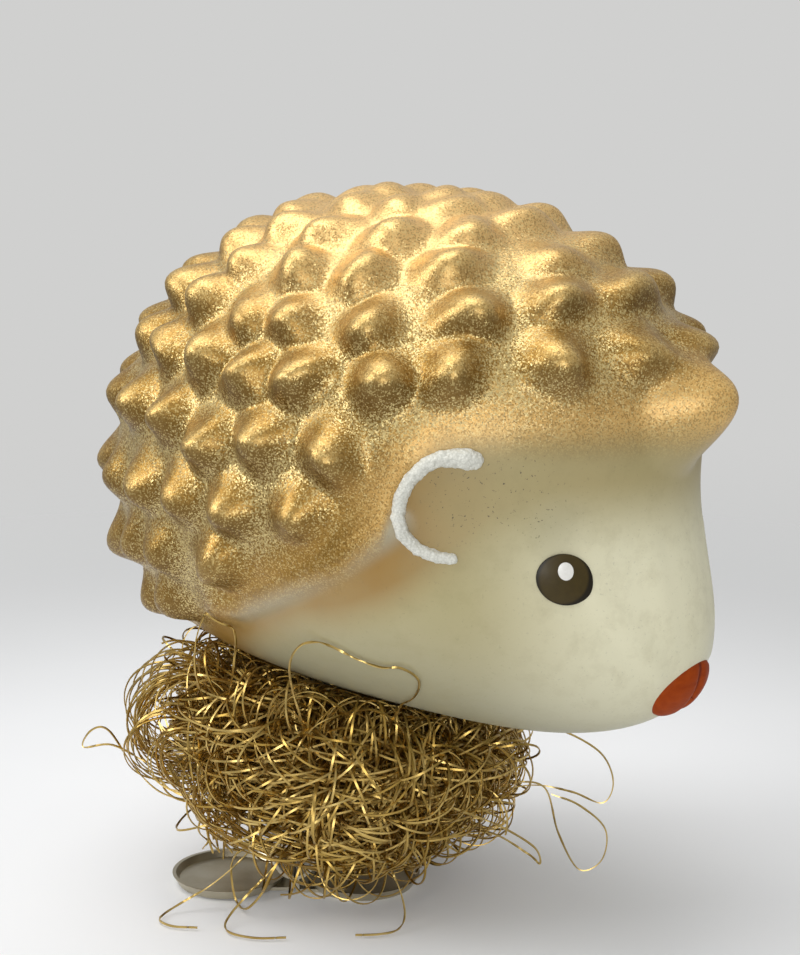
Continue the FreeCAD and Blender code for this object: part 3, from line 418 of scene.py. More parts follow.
def mottled(name, mottle_size, under, over, **sockets):
    """A material of one colour, mottled with another."""
    material, tree, shader = new_material(name, **sockets)
    mottle = add_node(tree, "TexNoise", add_node(tree, "TexCoord").outputs["Object"], 1 / mottle_size)
    feed(tree, shader.inputs["Base Color"], painted(tree, under, (mottle, 1, over)))
    return material


eye_white = mottled("white_dot_enamel", 0.6 * MM, "#fbfaf6", "#e6e4dc", Roughness=0.25, IOR=1.5,
                    Coat_Weight=0.4)
for hand in ("right", "left"):
    for node_name, paint in (("eye_enamel_", eye_paint), ("eye_highlight_", eye_white)):
        piece = frame["nodes"][node_name + hand]
        piece.data.materials.clear()
        piece.data.materials.append(paint)

# The nose: two thick lobes of red-brown enamel, dabbed on with a brush, with a crease between them and a notch
# below for the mouth. Its strokes show, its crease is painted darker as painted shade, and it shines little.
nose_angles, nose_half_width, nose_half_height, nose_thick = (0.0, -32.0), 5.9 * MM, 4.8 * MM, 1.15 * MM
nose_sunk, nose_dome_power, nose_notch_share, nose_notch_spread = 0.3 * MM, 2.6, 0.26, 24.0
nose_crease_share, nose_crease_spread, nose_crease_half_width = 0.55, 0.75 * MM, 0.5 * MM
nose_stroke_size, nose_stroke_height, nose_rings, nose_columns = 0.8 * MM, 0.15 * MM, 28, 96
nose_paint, tree, shader = new_material("red_nose_enamel", Roughness=0.5, IOR=1.4, Specular_IOR_Level=0.12)
place = add_node(tree, "TexCoord").outputs["Object"]
brushed = add_node(tree, "Mapping", place, sockets={"Scale": (1.0, 0.35, 1.0)})
strokes = add_node(tree, "TexNoise", brushed, 1 / nose_stroke_size, 4.0)
both_sides = add_node(tree, "VectorMath", place, operation="ABSOLUTE")
off_middle = add_node(tree, "SeparateXYZ", both_sides).outputs["Y"]
# Painted shade: the crease down the middle of the nose is painted darker
crease = add_node(tree, "MapRange", off_middle, nose_crease_half_width, 0.1 * MM)
feed(tree, shader.inputs["Base Color"],
     painted(tree, "#7f2c07", (strokes, 1, "#ab4a12"), (crease, 0.85, "#5e1d0b")))
feed(tree, shader.inputs["Normal"],
     add_node(tree, "Bump", sockets={"Height": strokes, "Strength": 0.5, "Distance": nose_stroke_height}))
forward = direction_at(*nose_angles)
upward = unit(np.cross(forward, side_way) * np.sign(np.cross(forward, side_way)[2]))
radius = np.linspace(0, 1, nose_rings)[1:, None]
turn = np.arange(nose_columns) * 2 * math.pi / nose_columns
from_below = np.degrees(np.abs((turn + math.pi / 2 + math.pi) % (2 * math.pi) - math.pi))
notch = 1 - nose_notch_share * np.exp(-(from_below / nose_notch_spread) ** 2)
aside = radius * notch * nose_half_width * np.cos(turn)
above = radius * notch * nose_half_height * np.sin(turn)
aside, above, edge = (np.concatenate(([0.0], (part + 0 * turn).ravel())) for part in (aside, above, radius))
ways = unit(base_point(forward) + side_way * aside[:, None] + upward * above[:, None] - body_centre)
on_skin = base_point(ways)
groove = 1 - nose_crease_share * np.exp(-(aside / nose_crease_spread) ** 2) * (edge > 0.02)
dome = nose_thick * np.sqrt(np.clip(1 - edge ** nose_dome_power, 0, 1)) * groove
ring_starts = [1 + ring * nose_columns for ring in range(nose_rings - 1)]
last = ring_starts[-1]
points = np.concatenate((on_skin + ways * dome[:, None], on_skin[last:] - ways[last:] * nose_sunk))
sunk_start = len(on_skin)
faces = [list(range(sunk_start, len(points)))[::-1]]
for column in range(nose_columns):
    after = (column + 1) % nose_columns
    faces.append((0, 1 + column, 1 + after))
    faces.append((last + column, sunk_start + column, sunk_start + after, last + after))
    for near, far in zip(ring_starts, ring_starts[1:]):
        faces.append((near + column, far + column, far + after, near + after))


def new_piece(mesh):
    """A piece with its own mesh, alone selected and active."""
    piece = bpy.data.objects.new(mesh.name, mesh)
    bpy.context.scene.collection.objects.link(piece)
    bpy.ops.object.select_all(action="DESELECT")
    bpy.context.view_layer.objects.active = piece
    piece.select_set(True)
    return piece


mesh = bpy.data.meshes.new("enamel_nose")
mesh.from_pydata([tuple(point) for point in points], [], faces)
nose = new_piece(mesh)
turn_faces_outwards()
bpy.ops.object.shade_smooth_by_angle(angle=math.radians(60))
mesh.materials.append(nose_paint)
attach(nose, "root")
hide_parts("nose_enamel")

# The ears: a raised line of white glue full of silver glitter, squeezed on from a tube, so it is lumpy.
# The glitter is drawn coarser than the real one, so that it shows.
glitter_size, glitter_height = 0.3 * MM, 0.12 * MM
glitter, tree, shader = new_material("white_glitter_glue", Roughness=0.45, IOR=1.45)
place = add_node(tree, "TexCoord").outputs["Object"]
grit = add_node(tree, "TexVoronoi", place, 1 / glitter_size).outputs["Distance"]
feed(tree, shader.inputs["Base Color"], painted(tree, "#ecece2", (grit, 1, "#cdcdc2")))
feed(tree, shader.inputs["Normal"],
     add_node(tree, "Bump", sockets={"Height": grit, "Strength": 0.8, "Distance": glitter_height}))
# Azimuth, elevation and the line's half-width in millimetres, from its blunt upper end
ear_line = np.array(((44.6, 10.4, 1.15), (46.0, 10.7, 1.35), (48.0, 10.9, 1.2), (51.1, 10.9, 1.0),
                     (54.1, 9.6, 0.92), (57.0, 6.8, 0.88), (58.9, 3.3, 0.9), (59.6, -0.9, 0.88),
                     (58.6, -4.7, 0.84), (55.7, -7.7, 0.8), (51.8, -9.2, 0.76), (48.6, -9.6, 0.7)))
blob_count, ear_sunk_share, ear_voxel, lump_size, lump_height = 100, 0.35, 0.16 * MM, 0.55 * MM, 0.34 * MM
lump_texture = bpy.data.textures.new("glitter_lumps", "CLOUDS")
lump_texture.noise_scale = lump_size
bpy.ops.mesh.primitive_uv_sphere_add(segments=20, ring_count=12, radius=1)
blob = bpy.context.object
blob_corners = np.array([v.co for v in blob.data.vertices])
blob_faces = [tuple(face.vertices) for face in blob.data.polygons]
bpy.data.objects.remove(blob)
share = np.linspace(0, len(ear_line) - 1, blob_count)
azimuths, elevations, radii = (np.interp(share, np.arange(len(ear_line)), ear_line[:, k]) for k in range(3))
for hand in ("right", "left"):
    ways = direction_at(azimuths if hand == "right" else -azimuths, elevations)
    middles = base_point(ways)
    middles = middles + ways * (relief(middles)[0] + radii * MM * (1 - 2 * ear_sunk_share))[:, None]
    corners = (middles[:, None] + blob_corners * radii[:, None, None] * MM).reshape(-1, 3)
    faces = [[k + blob_index * len(blob_corners) for k in face]
             for blob_index in range(blob_count) for face in blob_faces]
    mesh = bpy.data.meshes.new("ear_glitter_line_" + hand)
    mesh.from_pydata([tuple(corner) for corner in corners], [], faces)
    bead = new_piece(mesh)
    remesh = bead.modifiers.new("even", "REMESH")
    remesh.mode, remesh.voxel_size = "VOXEL", ear_voxel
    bpy.ops.object.modifier_apply(modifier="even")
    lumps = bead.modifiers.new("lumps", "DISPLACE")
    lumps.texture, lumps.strength, lumps.texture_coords = lump_texture, lump_height, "LOCAL"
    bpy.ops.object.modifier_apply(modifier="lumps")
    bpy.ops.object.shade_smooth()
    bead.data.materials.clear()
    bead.data.materials.append(glitter)
    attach(bead, "root")
    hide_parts("ear_glitter_" + hand)

# The clip, its cup, pin and rivet: stamped and rolled tinplate, dulled by handling, with a drawn steel pin and
# spring. The neck is set in the cup with cast plaster.
rolling_size, rolling_height, dull_size = 0.25 * MM, 0.02 * MM, 4 * MM
tinplate, tree, shader = new_material("stamped_tinplate", Metallic=0.95)
place = add_node(tree, "TexCoord").outputs["Object"]
rolled = add_node(tree, "Mapping", place, sockets={"Scale": (1.0, 1.0, 0.12)})
lines = add_node(tree, "TexNoise", rolled, 1 / rolling_size, 3.0)
dull = add_node(tree, "TexNoise", place, 1 / dull_size, 4.0)
feed(tree, shader.inputs["Base Color"], painted(tree, "#cbc6b6", (dull, 1, "#a2977c")))
feed(tree, shader.inputs["Roughness"], add_node(tree, "Math", dull, 0.25, 0.26, operation="MULTIPLY_ADD"))
feed(tree, shader.inputs["Normal"],
     add_node(tree, "Bump", sockets={"Height": lines, "Strength": 0.2, "Distance": rolling_height}))
drawn = mottled("drawn_steel_wire", 0.5 * MM, "#8d8b86", "#aaa8a2", Metallic=1.0, Roughness=0.3)
plaster = mottled("cast_plaster", 0.4 * MM, "#e2ddd2", "#cbc5b8", Roughness=0.85)
metals = {"jaw_fixed": tinplate, "jaw_moving": tinplate, "neck_cup": tinplate, "cup_rivet": tinplate,
          "hinge_pin": drawn, "clip_spring": drawn, "neck_setting": plaster}
for node_name, finish in metals.items():
    frame["nodes"][node_name].data.materials.clear()
    frame["nodes"][node_name].data.materials.append(finish)

# The wires: every wire of this object is a closed strip along a smooth path. Their places are given as the viewer
# sees the clip: to the right, behind and above.
view_turn = math.radians(35.0)
view_right = np.array((math.cos(view_turn), math.sin(view_turn), 0.0))
view_depth = np.array((-math.sin(view_turn), math.cos(view_turn), 0.0))
upright = np.array((0.0, 0.0, 1.0))
pin_place = np.array(frame["joints"][0]["pos_m"])


def laid_out(right_depth_height):
    """World points from places to the right, behind and above the origin, as the viewer sees the clip."""
    right_depth_height = np.asarray(right_depth_height)
    return (right_depth_height[..., :1] * view_right + right_depth_height[..., 1:2] * view_depth
            + right_depth_height[..., 2:] * upright)


def wires(name, paths, bends, material, shares, width, thick, sides=4):
    """One mesh of wires along paths, each with its flat side towards its bend."""
    count, steps = paths.shape[:2]
    ways = unit(np.gradient(paths, axis=1))
    bends = unit(bends - ways * np.sum(bends * ways, axis=2, keepdims=True))
    across = np.cross(ways, bends)
    around = 2 * math.pi * (np.arange(sides) + 0.5) / sides
    spread = math.sqrt(2) / 2 if sides == 4 else 0.5
    points = (paths[:, :, None] + across[:, :, None] * (np.cos(around) * width * spread)[:, None]
              + bends[:, :, None] * (np.sin(around) * thick * spread)[:, None]).reshape(-1, 3)
    first = ((np.arange(count)[:, None] * steps + np.arange(steps - 1)) * sides).reshape(-1, 1)
    here, there = np.arange(sides), (np.arange(sides) + 1) % sides
    quads = np.stack((first + here, first + sides + here, first + sides + there, first + there), -1)
    quads = quads.reshape(-1, 4)
    begin = np.arange(count)[:, None] * steps * sides + np.arange(sides)
    caps = np.concatenate((begin, begin[:, ::-1] + (steps - 1) * sides))
    mesh = bpy.data.meshes.new(name)
    mesh.vertices.add(len(points))
    mesh.vertices.foreach_set("co", points.ravel())
    mesh.loops.add(quads.size + caps.size)
    mesh.loops.foreach_set("vertex_index", np.concatenate((quads.ravel(), caps.ravel())))
    mesh.polygons.add(len(quads) + len(caps))
    loop_starts = np.concatenate((np.arange(len(quads)) * 4, quads.size + np.arange(len(caps)) * sides))
    mesh.polygons.foreach_set("loop_start", loop_starts)
    mesh.update(calc_edges=True)
    mesh.validate()
    layer = mesh.attributes.new("wire", "FLOAT", "POINT")
    layer.data.foreach_set("value", np.repeat(shares, steps * sides).astype(np.float32))
    piece = new_piece(mesh)
    turn_faces_outwards()
    bpy.ops.object.shade_smooth_by_angle(angle=math.radians(50))
    mesh.materials.append(material)
    return piece


# The clip's spring: drawn steel wire wound on the hinge pin. Its legs lean on the fixed and the moving leaf,
# so it twists between them as the clip opens.
spring_turns, spring_radius, spring_length = 5.5, 2.0 * MM, 5.5 * MM
spring_leg, spring_wire = 2.3 * MM, 0.5 * MM
spring_steps, leg_steps, spring_sides = 160, 8, 12
share = np.linspace(0, 1, spring_steps)
turn = 2 * math.pi * spring_turns * share
radial = np.stack((-np.cos(turn), 0 * turn, -np.sin(turn)), -1)
coil = radial * spring_radius + np.stack((0 * turn, spring_length * (share - 0.5), 0 * turn), -1)
climb = (np.arange(leg_steps)[::-1, None] + 1) / leg_steps * spring_leg * upright
path = np.concatenate((coil[:1] + climb, coil, coil[-1:] + climb[::-1]))
inward = -np.concatenate((np.repeat(radial[:1], leg_steps, 0), radial, np.repeat(radial[-1:], leg_steps, 0)))
spring = wires("coiled_clip_spring", (pin_place + laid_out(path))[None], laid_out(inward)[None], drawn,
               np.ones(1), spring_wire, spring_wire, spring_sides)
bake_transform(spring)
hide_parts("clip_spring")

# Crinkled wire: drawn brass, rolled flat. It is bright where its flat side catches the light and tarnished
# between, and some wires are yellower than others.
tarnish_size = 3.0 * MM
brass, tree, shader = new_material("crinkled_brass_wire", Metallic=1.0)
wire = add_node(tree, "Attribute", attribute_name="wire").outputs["Fac"]
tarnish = add_node(tree, "TexNoise", add_node(tree, "TexCoord").outputs["Object"], 1 / tarnish_size, 3.0)
feed(tree, shader.inputs["Base Color"],
     painted(tree, "#c4a152", (wire, 1, "#edd188"), (tarnish, 1, "#94783a")))
feed(tree, shader.inputs["Roughness"], add_node(tree, "Math", tarnish, 0.22, 0.2, operation="MULTIPLY_ADD"))

# The binding: three turns of the same wire, pulled tight round the neck above the cup. It holds the nest, which
# hides it.
binding_radius, binding_wire, binding_turns, binding_steps, binding_sides = 5.575 * MM, 0.45 * MM, 3, 150, 8
binding_low, binding_high = (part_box("binding_wire")[k].z for k in (0, 1))
share = np.linspace(0, 1, binding_steps)
turn = 2 * math.pi * binding_turns * share
radial = np.stack((np.cos(turn), np.sin(turn), 0 * turn), -1)
rise_to = binding_low + binding_wire / 2 + (binding_high - binding_low - binding_wire) * share
path = radial * binding_radius + rise_to[:, None] * upright
binding = wires("neck_binding_wire", path[None], -radial[None], brass, np.ones(1), binding_wire, binding_wire,
                binding_sides)
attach(binding, "root")
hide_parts("binding_wire")

# The nest: many lengths of crinkled brass wire, curled over a finger and packed round the neck. They fill the
# space under the belly and hang in front of the clip, clear of its leaves. A few loops have sprung out.
# They run in small bundles. Most bundles go round the neck, and the rest curl tightly.
wire_width, wire_thick, wire_step = 0.29 * MM, 0.16 * MM, 0.85 * MM
nest_foot_radius, nest_foot_lean, nest_top_radius, nest_top_lean = 15.6 * MM, -2.4 * MM, 21.8 * MM, 1.5 * MM
nest_low, nest_waist, nest_high, neck_gap_radius = 7.0 * MM, 25.0 * MM, 34.0 * MM, 7.4 * MM
belly_gap, belly_margin, ground_gap, edge_depth, push_depth = 0.4 * MM, 1.5 * MM, 0.4 * MM, 3 * MM, 2 * MM
bundle_count, bundle_size, wire_steps, nest_parts, long_share, loose_share = 175, 4, 185, 6, 0.74, 0.18
wire_count = bundle_count * bundle_size
long_radii, short_radii, loose_slack, turn_back_radius = (10.0, 22.0), (4.6, 8.5), (1.0, 3.2), 4.4 * MM
start_scatter, long_spray, short_spray, own_spray, own_sway = 0.9 * MM, 0.12, 0.4, 0.06, 0.35
curl_torsion, steady_share, sway, level_share, smoothing_count = 0.014, 0.96, 0.28, 0.955, 8
curl_wave, curl_wave_turn, push_share, ceiling, ceiling_lean = 0.3, 0.11, 0.45, 28.5 * MM, -0.24
# The room of the clip, from its hinge pin: left, right, front and back ends, and the top's height. The opening
# leaf's foot, the hinge with its tab and spring, the shelf under the cup, and the fixed foot
clip_rooms = np.array(((-21.3, 0.8, -9.0, 9.0, 11.0), (-5.2, 4.0, -5.9, 5.9, 17.4),
                       (-0.5, 14.2, -5.1, 10.1, 15.1), (-0.8, 18.9, -9.0, 9.0, 2.4))) * MM
clip_margin, room_spare = 1.5 * MM, 0.35 * MM
rng = np.random.default_rng(7)


def out_of_clip(points, margin):
    """The shortest way for each point out of the room that the clip and its opening leaf need."""
    right, depth = (points - pin_place) @ view_right, (points - pin_place) @ view_depth
    ways = np.stack((upright, -view_right, view_right, -view_depth, view_depth))
    moved = 0 * points
    for left_end, right_end, front_end, back_end, top in clip_rooms:
        inside = margin + np.stack((top - points[:, 2], right - left_end, right_end - right, depth - front_end,
                                    back_end - depth))
        move = ways[inside.argmin(0)] * np.maximum(inside.min(0), 0)[:, None]
        further = np.linalg.norm(move, axis=1) > np.linalg.norm(moved, axis=1)
        moved = np.where(further[:, None], move, moved)
    return moved


def nest_limit(cosine, height):
    """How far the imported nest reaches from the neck. It is wider at the top, and leans a little."""
    climb = step_between(nest_low, nest_waist, height)
    return ((nest_foot_radius + nest_foot_lean * cosine) * (1 - climb)
            + (nest_top_radius + nest_top_lean * cosine) * climb)


def nest_push(points, slack):
    """Which way and how strongly a wire turns back at each point, to stay in the nest."""
    right, depth = points @ view_right, points @ view_depth
    reach = np.hypot(right, depth) + 1e-9
    limit = nest_limit(right / reach, points[:, 2]) + slack
    outward = (view_right * right[:, None] + view_depth * depth[:, None]) / reach[:, None]
    push = -outward * np.clip((reach - limit) / edge_depth, 0, 1)[:, None]
    push = push + outward * np.clip((neck_gap_radius + push_depth / 2 - reach) / push_depth, 0, 1)[:, None]
    push[:, 2] += np.clip((nest_low + push_depth - points[:, 2]) / push_depth, 0, 1)
    push[:, 2] -= np.clip((points[:, 2] - ceiling - ceiling_lean * right) / push_depth, 0, 1)
    push = push + out_of_clip(points, clip_margin) / clip_margin
    away = points - body_centre
    span = np.linalg.norm(away, axis=1)
    inside = base_reach(away / span[:, None]) + belly_margin - span
    return push + away / span[:, None] * np.clip(inside / push_depth, 0, 1)[:, None]


def cleared(paths):
    """The paths, moved out of the belly, the neck, the clip's room and the ground."""
    points = paths.reshape(-1, 3).copy()
    for _ in range(2):
        points += out_of_clip(points, 0)
    reach = np.hypot(points[:, 0], points[:, 1]) + 1e-9
    points[:, :2] *= np.maximum(1, neck_gap_radius / reach)[:, None]
    points[:, 2] = np.maximum(points[:, 2], ground_gap)
    away = points - body_centre
    span = np.linalg.norm(away, axis=1)
    ways = away / span[:, None]
    rise, _ = relief(body_centre + ways * base_reach(ways)[:, None])
    short = np.maximum(base_reach(ways) + rise + belly_gap - span, 0)
    return (points + ways * short[:, None]).reshape(paths.shape)


def through(controls, count):
    """Points on a smooth curve through places given in millimetres to the right, behind and above."""
    places = laid_out(np.array(controls) * MM)
    padded = np.concatenate((2 * places[:1] - places[1:2], places, 2 * places[-1:] - places[-2:-1]))
    share = np.linspace(0, len(places) - 1, count)
    first = np.minimum(share.astype(int), len(places) - 2)
    part = (share - first)[:, None]
    a, b, c, d = (padded[first + k] for k in range(4))
    return (2 * b + (c - a) * part + (2 * a - 5 * b + 4 * c - d) * part ** 2
            + (3 * b - a - 3 * c + d) * part ** 3) / 2


def own_bends(paths):
    """The way that each path curves at each of its points."""
    turned = np.gradient(np.gradient(paths, axis=1), axis=1)
    return turned / (np.linalg.norm(turned, axis=2, keepdims=True) + 1e-12) + view_depth * 0.3


def bundled(values):
    """The same value for each wire of a bundle."""
    return np.repeat(values, bundle_size, axis=0)


height = rng.uniform(nest_low, nest_high, bundle_count)
turn = rng.uniform(0, 2 * math.pi, bundle_count)
outer_reach = nest_limit(np.cos(turn), height)
reach = neck_gap_radius + (outer_reach - neck_gap_radius) * np.sqrt(rng.uniform(0, 1, bundle_count))
starts = bundled(laid_out(np.stack((reach * np.cos(turn), reach * np.sin(turn), height), -1)))
starts = cleared(starts + rng.normal(size=starts.shape) * start_scatter)
long_wire = bundled(rng.uniform(0, 1, bundle_count) < long_share)
radii = np.where(long_wire, bundled(rng.uniform(*long_radii, bundle_count)),
                 bundled(rng.uniform(*short_radii, bundle_count)))
radii = radii * rng.uniform(0.92, 1.08, wire_count) * MM
loose = rng.uniform(0, 1, bundle_count) < loose_share
slack = bundled(np.where(loose, rng.uniform(*loose_slack, bundle_count), 0.0)) * MM
place = starts
outward = unit(starts * (1, 1, 0))
level = np.cross(outward, upright) * bundled(rng.choice((-1, 1), bundle_count))[:, None]
climb = bundled(rng.uniform(-0.9, 0.9, bundle_count))[:, None] * np.where(long_wire, 0.5, 1)[:, None]
spray = bundled(rng.normal(size=(bundle_count, 3))) * np.where(long_wire, long_spray, short_spray)[:, None]
way = unit(level + upright * climb + spray + rng.normal(size=starts.shape) * own_spray)
bend = np.where(long_wire[:, None], -outward, bundled(rng.normal(size=(bundle_count, 3))))
drift = bundled(rng.normal(size=(bundle_count, 3)))
levelling = np.where(long_wire[:, None], (1, 1, level_share), 1)
path, bends = [], []
for step in range(wire_steps):
    push = nest_push(place, slack)
    strength = np.minimum(np.linalg.norm(push, axis=1, keepdims=True), 1)
    gust = bundled(rng.normal(size=(bundle_count, 3))) + rng.normal(size=drift.shape) * own_sway
    drift = drift * steady_share + gust * sway
    bend = bend + drift * curl_torsion + push * push_share
    bend = unit(bend - way * np.sum(bend * way, axis=1, keepdims=True))
    curve = (1 + curl_wave * np.sin(step * curl_wave_turn + 3 * radii / MM))[:, None] / radii[:, None]
    way = unit((way + bend * np.maximum(curve, strength / turn_back_radius) * wire_step) * levelling)
    place = place + way * wire_step
    path.append(place)
    bends.append(bend)
paths, bends = cleared(np.stack(path, 1)), np.stack(bends, 1)
for _ in range(smoothing_count):
    paths[:, 1:-1] = (paths[:, :-2] + 2 * paths[:, 1:-1] + paths[:, 2:]) / 4
paths = cleared(paths)
shares = rng.uniform(0, 1, wire_count)

# A wire that would cut through a corner of the clip's room is left out
middles = (paths[:, 1:] + paths[:, :-1]) / 2
crossing = np.linalg.norm(out_of_clip(middles.reshape(-1, 3), -room_spare), axis=1).reshape(wire_count, -1)
kept = crossing.max(1) == 0
paths, bends, shares = paths[kept], bends[kept], shares[kept]
for part in range(nest_parts):
    chosen = slice(part * len(paths) // nest_parts, (part + 1) * len(paths) // nest_parts)
    piece = wires("wire_nest_%d" % (part + 1), paths[chosen], bends[chosen], brass, shares[chosen], wire_width,
                  wire_thick)
    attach(piece, "root")
    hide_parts("nest_core", "wire_curls")

# Loose curls: open round loops, most of them on the nest's left, a hank that hangs there, and a bundle along its
# lower edge. Places are in millimetres. Each curl is given by its middle, radius and turns.
curl_steps, curl_strands, hank_strands, edge_strands = 150, 2, 16, 22
curls = ((-23.4, -10.0, 26.0, 6.5, 3.2), (-22.6, -7.0, 24.4, 6.1, 2.6), (-24.6, -9.0, 22.4, 5.8, 2.7),
         (-20.6, -12.0, 28.5, 5.4, 2.3), (-24.0, -4.0, 26.5, 6.8, 2.8), (-21.5, -13.0, 21.0, 4.8, 1.9),
         (-22.0, -6.0, 31.0, 5.2, 2.1), (-21.0, -12.0, 21.8, 5.0, 1.8), (-25.0, -1.0, 24.0, 5.0, 2.2),
         (19.5, -9.0, 21.0, 5.4, 2.0), (21.0, -3.0, 19.0, 4.6, 1.7), (-24.0, 3.0, 23.0, 6.0, 2.4),
         (12.0, 17.0, 21.0, 5.6, 2.2), (-10.0, 19.5, 22.0, 6.0, 2.5), (2.0, 21.0, 19.0, 5.4, 2.0),
         (-18.0, 15.0, 22.0, 5.8, 2.3), (20.0, 9.0, 20.0, 5.2, 2.0))
loops = []
for right, depth, height, radius, turns in curls:
    facing, phase = rng.uniform(-0.45, 0.45, 2), rng.uniform(0, 6, 2)
    for _ in range(curl_strands):
        turn = np.linspace(0, 2 * math.pi * turns, curl_steps) + phase[0] + rng.uniform(0, 1.5)
        size = radius * rng.uniform(0.95, 1.05) * (1 + 0.1 * np.sin(1.6 * turn + phase[1]))
        aside, above = rng.normal(size=2) * 0.35
        behind = depth + size * (facing[0] * np.cos(turn) + facing[1] * np.sin(turn)) + 0.22 * turn
        loops.append(np.stack((right + aside + size * np.cos(turn), behind,
                               height + above + size * np.sin(turn)), -1))
for _ in range(hank_strands):
    right, aside = rng.uniform(-20.6, -15.6), rng.normal(size=(5, 2)) * 0.7
    hank = ((right - 2, -9.5, 29), (right, -12.6, 23), (right + 0.5, -13.6, 17.5), (right, -13.8, 12),
            (right + 0.8, -12.8, 9.2))
    loops.append([(a + x, b, c + y) for (a, b, c), (x, y) in zip(hank, aside)])
lower_edge = ((-22, -9, 18), (-17, -13.4, 11.5), (-9, -15.6, 8), (0, -16.6, 7), (9, -14.6, 8.5),
              (15, -10.5, 12.5), (20, -7, 19))
for _ in range(edge_strands):
    lift, out, slip = rng.uniform(0, 4.5), rng.uniform(-0.5, 2.2), rng.uniform(-3, 3)
    loops.append([(a + slip, b - out, c + lift) for a, b, c in lower_edge])
paths = cleared(np.stack([laid_out(loop * MM) if isinstance(loop, np.ndarray) else through(loop, curl_steps)
                          for loop in loops]))
piece = wires("loose_wire_curls", paths, own_bends(paths), brass, rng.uniform(0.3, 1, len(loops)), wire_width,
              wire_thick)
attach(piece, "root")
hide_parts("wire_curls")

# Strays: single wires that have sprung out of the nest. Two lie against the belly, and three reach the ground.
stray_steps = 90
strays = (((-20, -8, 14), (-26, -7, 15), (-30, -7, 19), (-33.5, -7, 24.5), (-36, -7, 24.5), (-37.2, -7, 22),
           (-33, -7.5, 22.5), (-28, -8, 20)),
          ((20, -6, 24), (25, -5, 25.2), (31, -5, 24), (37, -5, 20.5), (39, -5, 16), (37.5, -5, 12.8),
           (33, -5, 14.5), (27, -5, 15.5), (19, -7, 14.5)),
          ((24, -6, 16.5), (29, -6, 15.5), (31, -7, 9), (34, -7.5, 3.6), (37.3, -7.5, 5), (37.8, -7, 9.5),
           (34, -6.5, 13), (30, -6, 14.5)),
          ((14, -10, 12), (19, -9, 12), (23, -9, 10.5), (27.5, -9, 7.5), (28.3, -9, 5), (26.5, -9, 6.6),
           (21, -9, 9.8), (15, -9.5, 9.5)),
          ((-11, -14, 12), (-14, -14, 8), (-18.5, -14, 4), (-22.5, -14.5, 1.6), (-25, -16, 0.5),
           (-25.5, -18.5, 0.5), (-23.5, -20.5, 0.5), (-20, -21, 0.5)),
          ((-6, -15, 12), (-9, -16, 8), (-13, -17, 4), (-15.5, -18.5, 1.5), (-16.2, -20.5, 0.5),
           (-15, -23, 0.5), (-11.5, -24.5, 0.5), (-7.5, -24.3, 0.5)),
          ((5, -14, 12), (6.5, -15.5, 8), (8.3, -17.5, 4), (8.8, -19.5, 1.5), (7.8, -21.7, 0.5),
           (5.3, -23.2, 0.5), (2, -23.5, 0.5)),
          ((-5, -20, 27), (-5, -24, 31), (-6.4, -29, 40), (-4.8, -31, 44.2), (-1, -32, 44.8), (3, -32, 43.6),
           (6, -32, 43.4), (8.6, -32, 44.8), (10.6, -31.5, 42.6), (9.9, -28, 38), (7.6, -24, 32.5),
           (6, -20, 28)),
          ((-19, -16, 32), (-19.8, -18.5, 37), (-19.4, -20, 42), (-17.8, -21.5, 46), (-15.6, -22, 46.2),
           (-14.0, -22, 43), (-14.4, -20, 38.5), (-15.5, -16, 32)))
paths = cleared(np.stack([through(stray, stray_steps) for stray in strays]))
piece = wires("stray_wires", paths, own_bends(paths), brass, rng.uniform(0.5, 1, len(strays)), wire_width,
              wire_thick)
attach(piece, "root")
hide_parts("wire_curls")

# The floor and backdrop: a pale paper sweep. Near the object it is painted lighter and given a faint glow, as a
# painted pool of light, and further out it is painted darker. It fades into an even backdrop, so no side shows
# an edge.
sweep_radius, fade_from, fade_to, painted_glow, mottle_size = 0.6, 0.09, 0.36, 0.08, 0.05
painted_light_from, painted_light_to = 0.03, 0.2
bpy.ops.object.select_all(action="DESELECT")
bpy.ops.mesh.primitive_circle_add(vertices=96, radius=sweep_radius, fill_type="NGON", location=(0, 0, 0))
floor = bpy.context.object
floor.name = "floor"
paper, tree, shader = new_material("pale_paper_sweep", Roughness=0.8, Emission_Color=(1.0, 1.0, 1.0, 1.0))
place = add_node(tree, "TexCoord").outputs["Object"]
away = add_node(tree, "VectorMath", place, operation="LENGTH")
# Painted light: the paper near the object is painted lighter, and further out darker
near = add_node(tree, "MapRange", away, painted_light_to, painted_light_from, interpolation_type="SMOOTHSTEP")
unevenness = add_node(tree, "TexNoise", place, 1 / mottle_size)
lit_paper = painted(tree, "#e0e1e3", (unevenness, 1, "#e7e8ea"))
feed(tree, shader.inputs["Base Color"],
     add_node(tree, "Mix", near, linear("#c2c3c4"), lit_paper, data_type="RGBA"))
# Painted light: the paper glows faintly near the object, though it is no lamp
feed(tree, shader.inputs["Emission Strength"], add_node(tree, "Math", near, painted_glow, operation="MULTIPLY"))
feed(tree, shader.inputs["Alpha"],
     add_node(tree, "MapRange", away, fade_to, fade_from, interpolation_type="SMOOTHSTEP"))
floor.data.materials.append(paper)

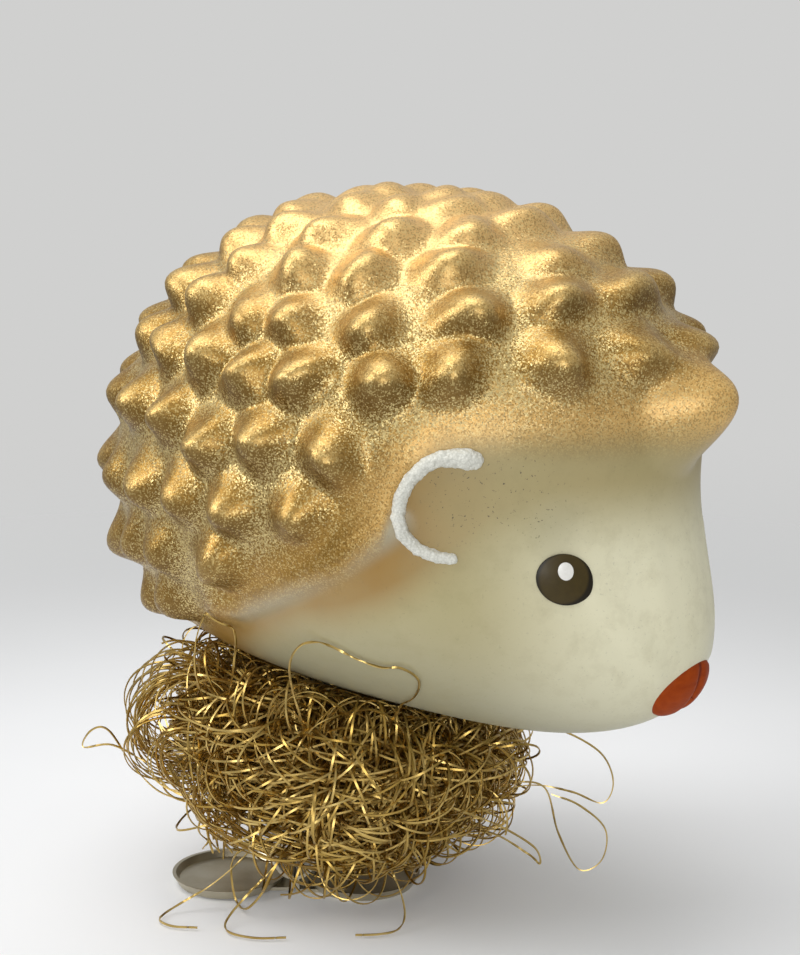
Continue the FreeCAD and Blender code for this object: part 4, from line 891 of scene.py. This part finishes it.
# Light: a room that is bright above and dim below, and three soft boxes.
world = bpy.data.worlds.new("studio")
bpy.context.scene.world = world
world.use_nodes = True
tree = world.node_tree
background = tree.nodes["Background"]
lift = add_node(tree, "SeparateXYZ", add_node(tree, "TexCoord").outputs["Generated"]).outputs["Z"]
lift = add_node(tree, "Math", lift, 0.6, 0.45, operation="MULTIPLY_ADD", use_clamp=True)
room = painted(tree, "#5c5a58", (lift, 1, "#cfcfce"))
seen = add_node(tree, "LightPath").outputs["Is Camera Ray"]
feed(tree, background.inputs["Color"], add_node(tree, "Mix", seen, room, linear("#d0d0cf"), data_type="RGBA"))
background.inputs["Strength"].default_value = 1.0


def area_light(name, place, size, power):
    """A square soft box that points at the body."""
    light = bpy.data.lights.new(name, "AREA")
    light.size, light.energy = size, power
    lamp = bpy.data.objects.new(name, light)
    lamp.location = place
    lamp.rotation_euler = (Vector(body_centre) - Vector(place)).to_track_quat("-Z", "Y").to_euler()
    bpy.context.scene.collection.objects.link(lamp)


area_light("top_box", (-0.22, -0.07, 0.88), 0.70, 4.2)
area_light("side_box", (-0.80, -0.76, 0.59), 0.57, 5.2)
area_light("front_box", (0.75, -1.11, 0.24), 0.72, 6.0)

# The camera stands as the photograph's does: 35 degrees round, 12 degrees up, 300 mm from the body.
camera_lift, camera_distance, pixels_per_metre, focal_pixels = math.radians(12.0), 0.3, 7200.0, 2160.0
picture_width, picture_height, body_column, body_line = 800, 955, 418, 456
right = Vector(view_right)
back = Vector((math.sin(view_turn) * math.cos(camera_lift), -math.cos(view_turn) * math.cos(camera_lift),
               math.sin(camera_lift)))
up = back.cross(right)
camera_data = bpy.data.cameras.new("camera")
camera_data.sensor_width = 36.0
camera_data.lens = focal_pixels / picture_height * camera_data.sensor_width
camera_data.clip_start, camera_data.clip_end = 0.01, 20.0
camera = bpy.data.objects.new("camera", camera_data)
camera.location = (Vector(body_centre) + back * camera_distance
                   - right * ((body_column - picture_width / 2) / pixels_per_metre)
                   + up * ((body_line - picture_height / 2) / pixels_per_metre))
camera.rotation_euler = (-back).to_track_quat("-Z", "Y").to_euler()
bpy.context.scene.collection.objects.link(camera)
bpy.context.scene.camera = camera
bpy.context.scene.view_settings.view_transform = "Standard"
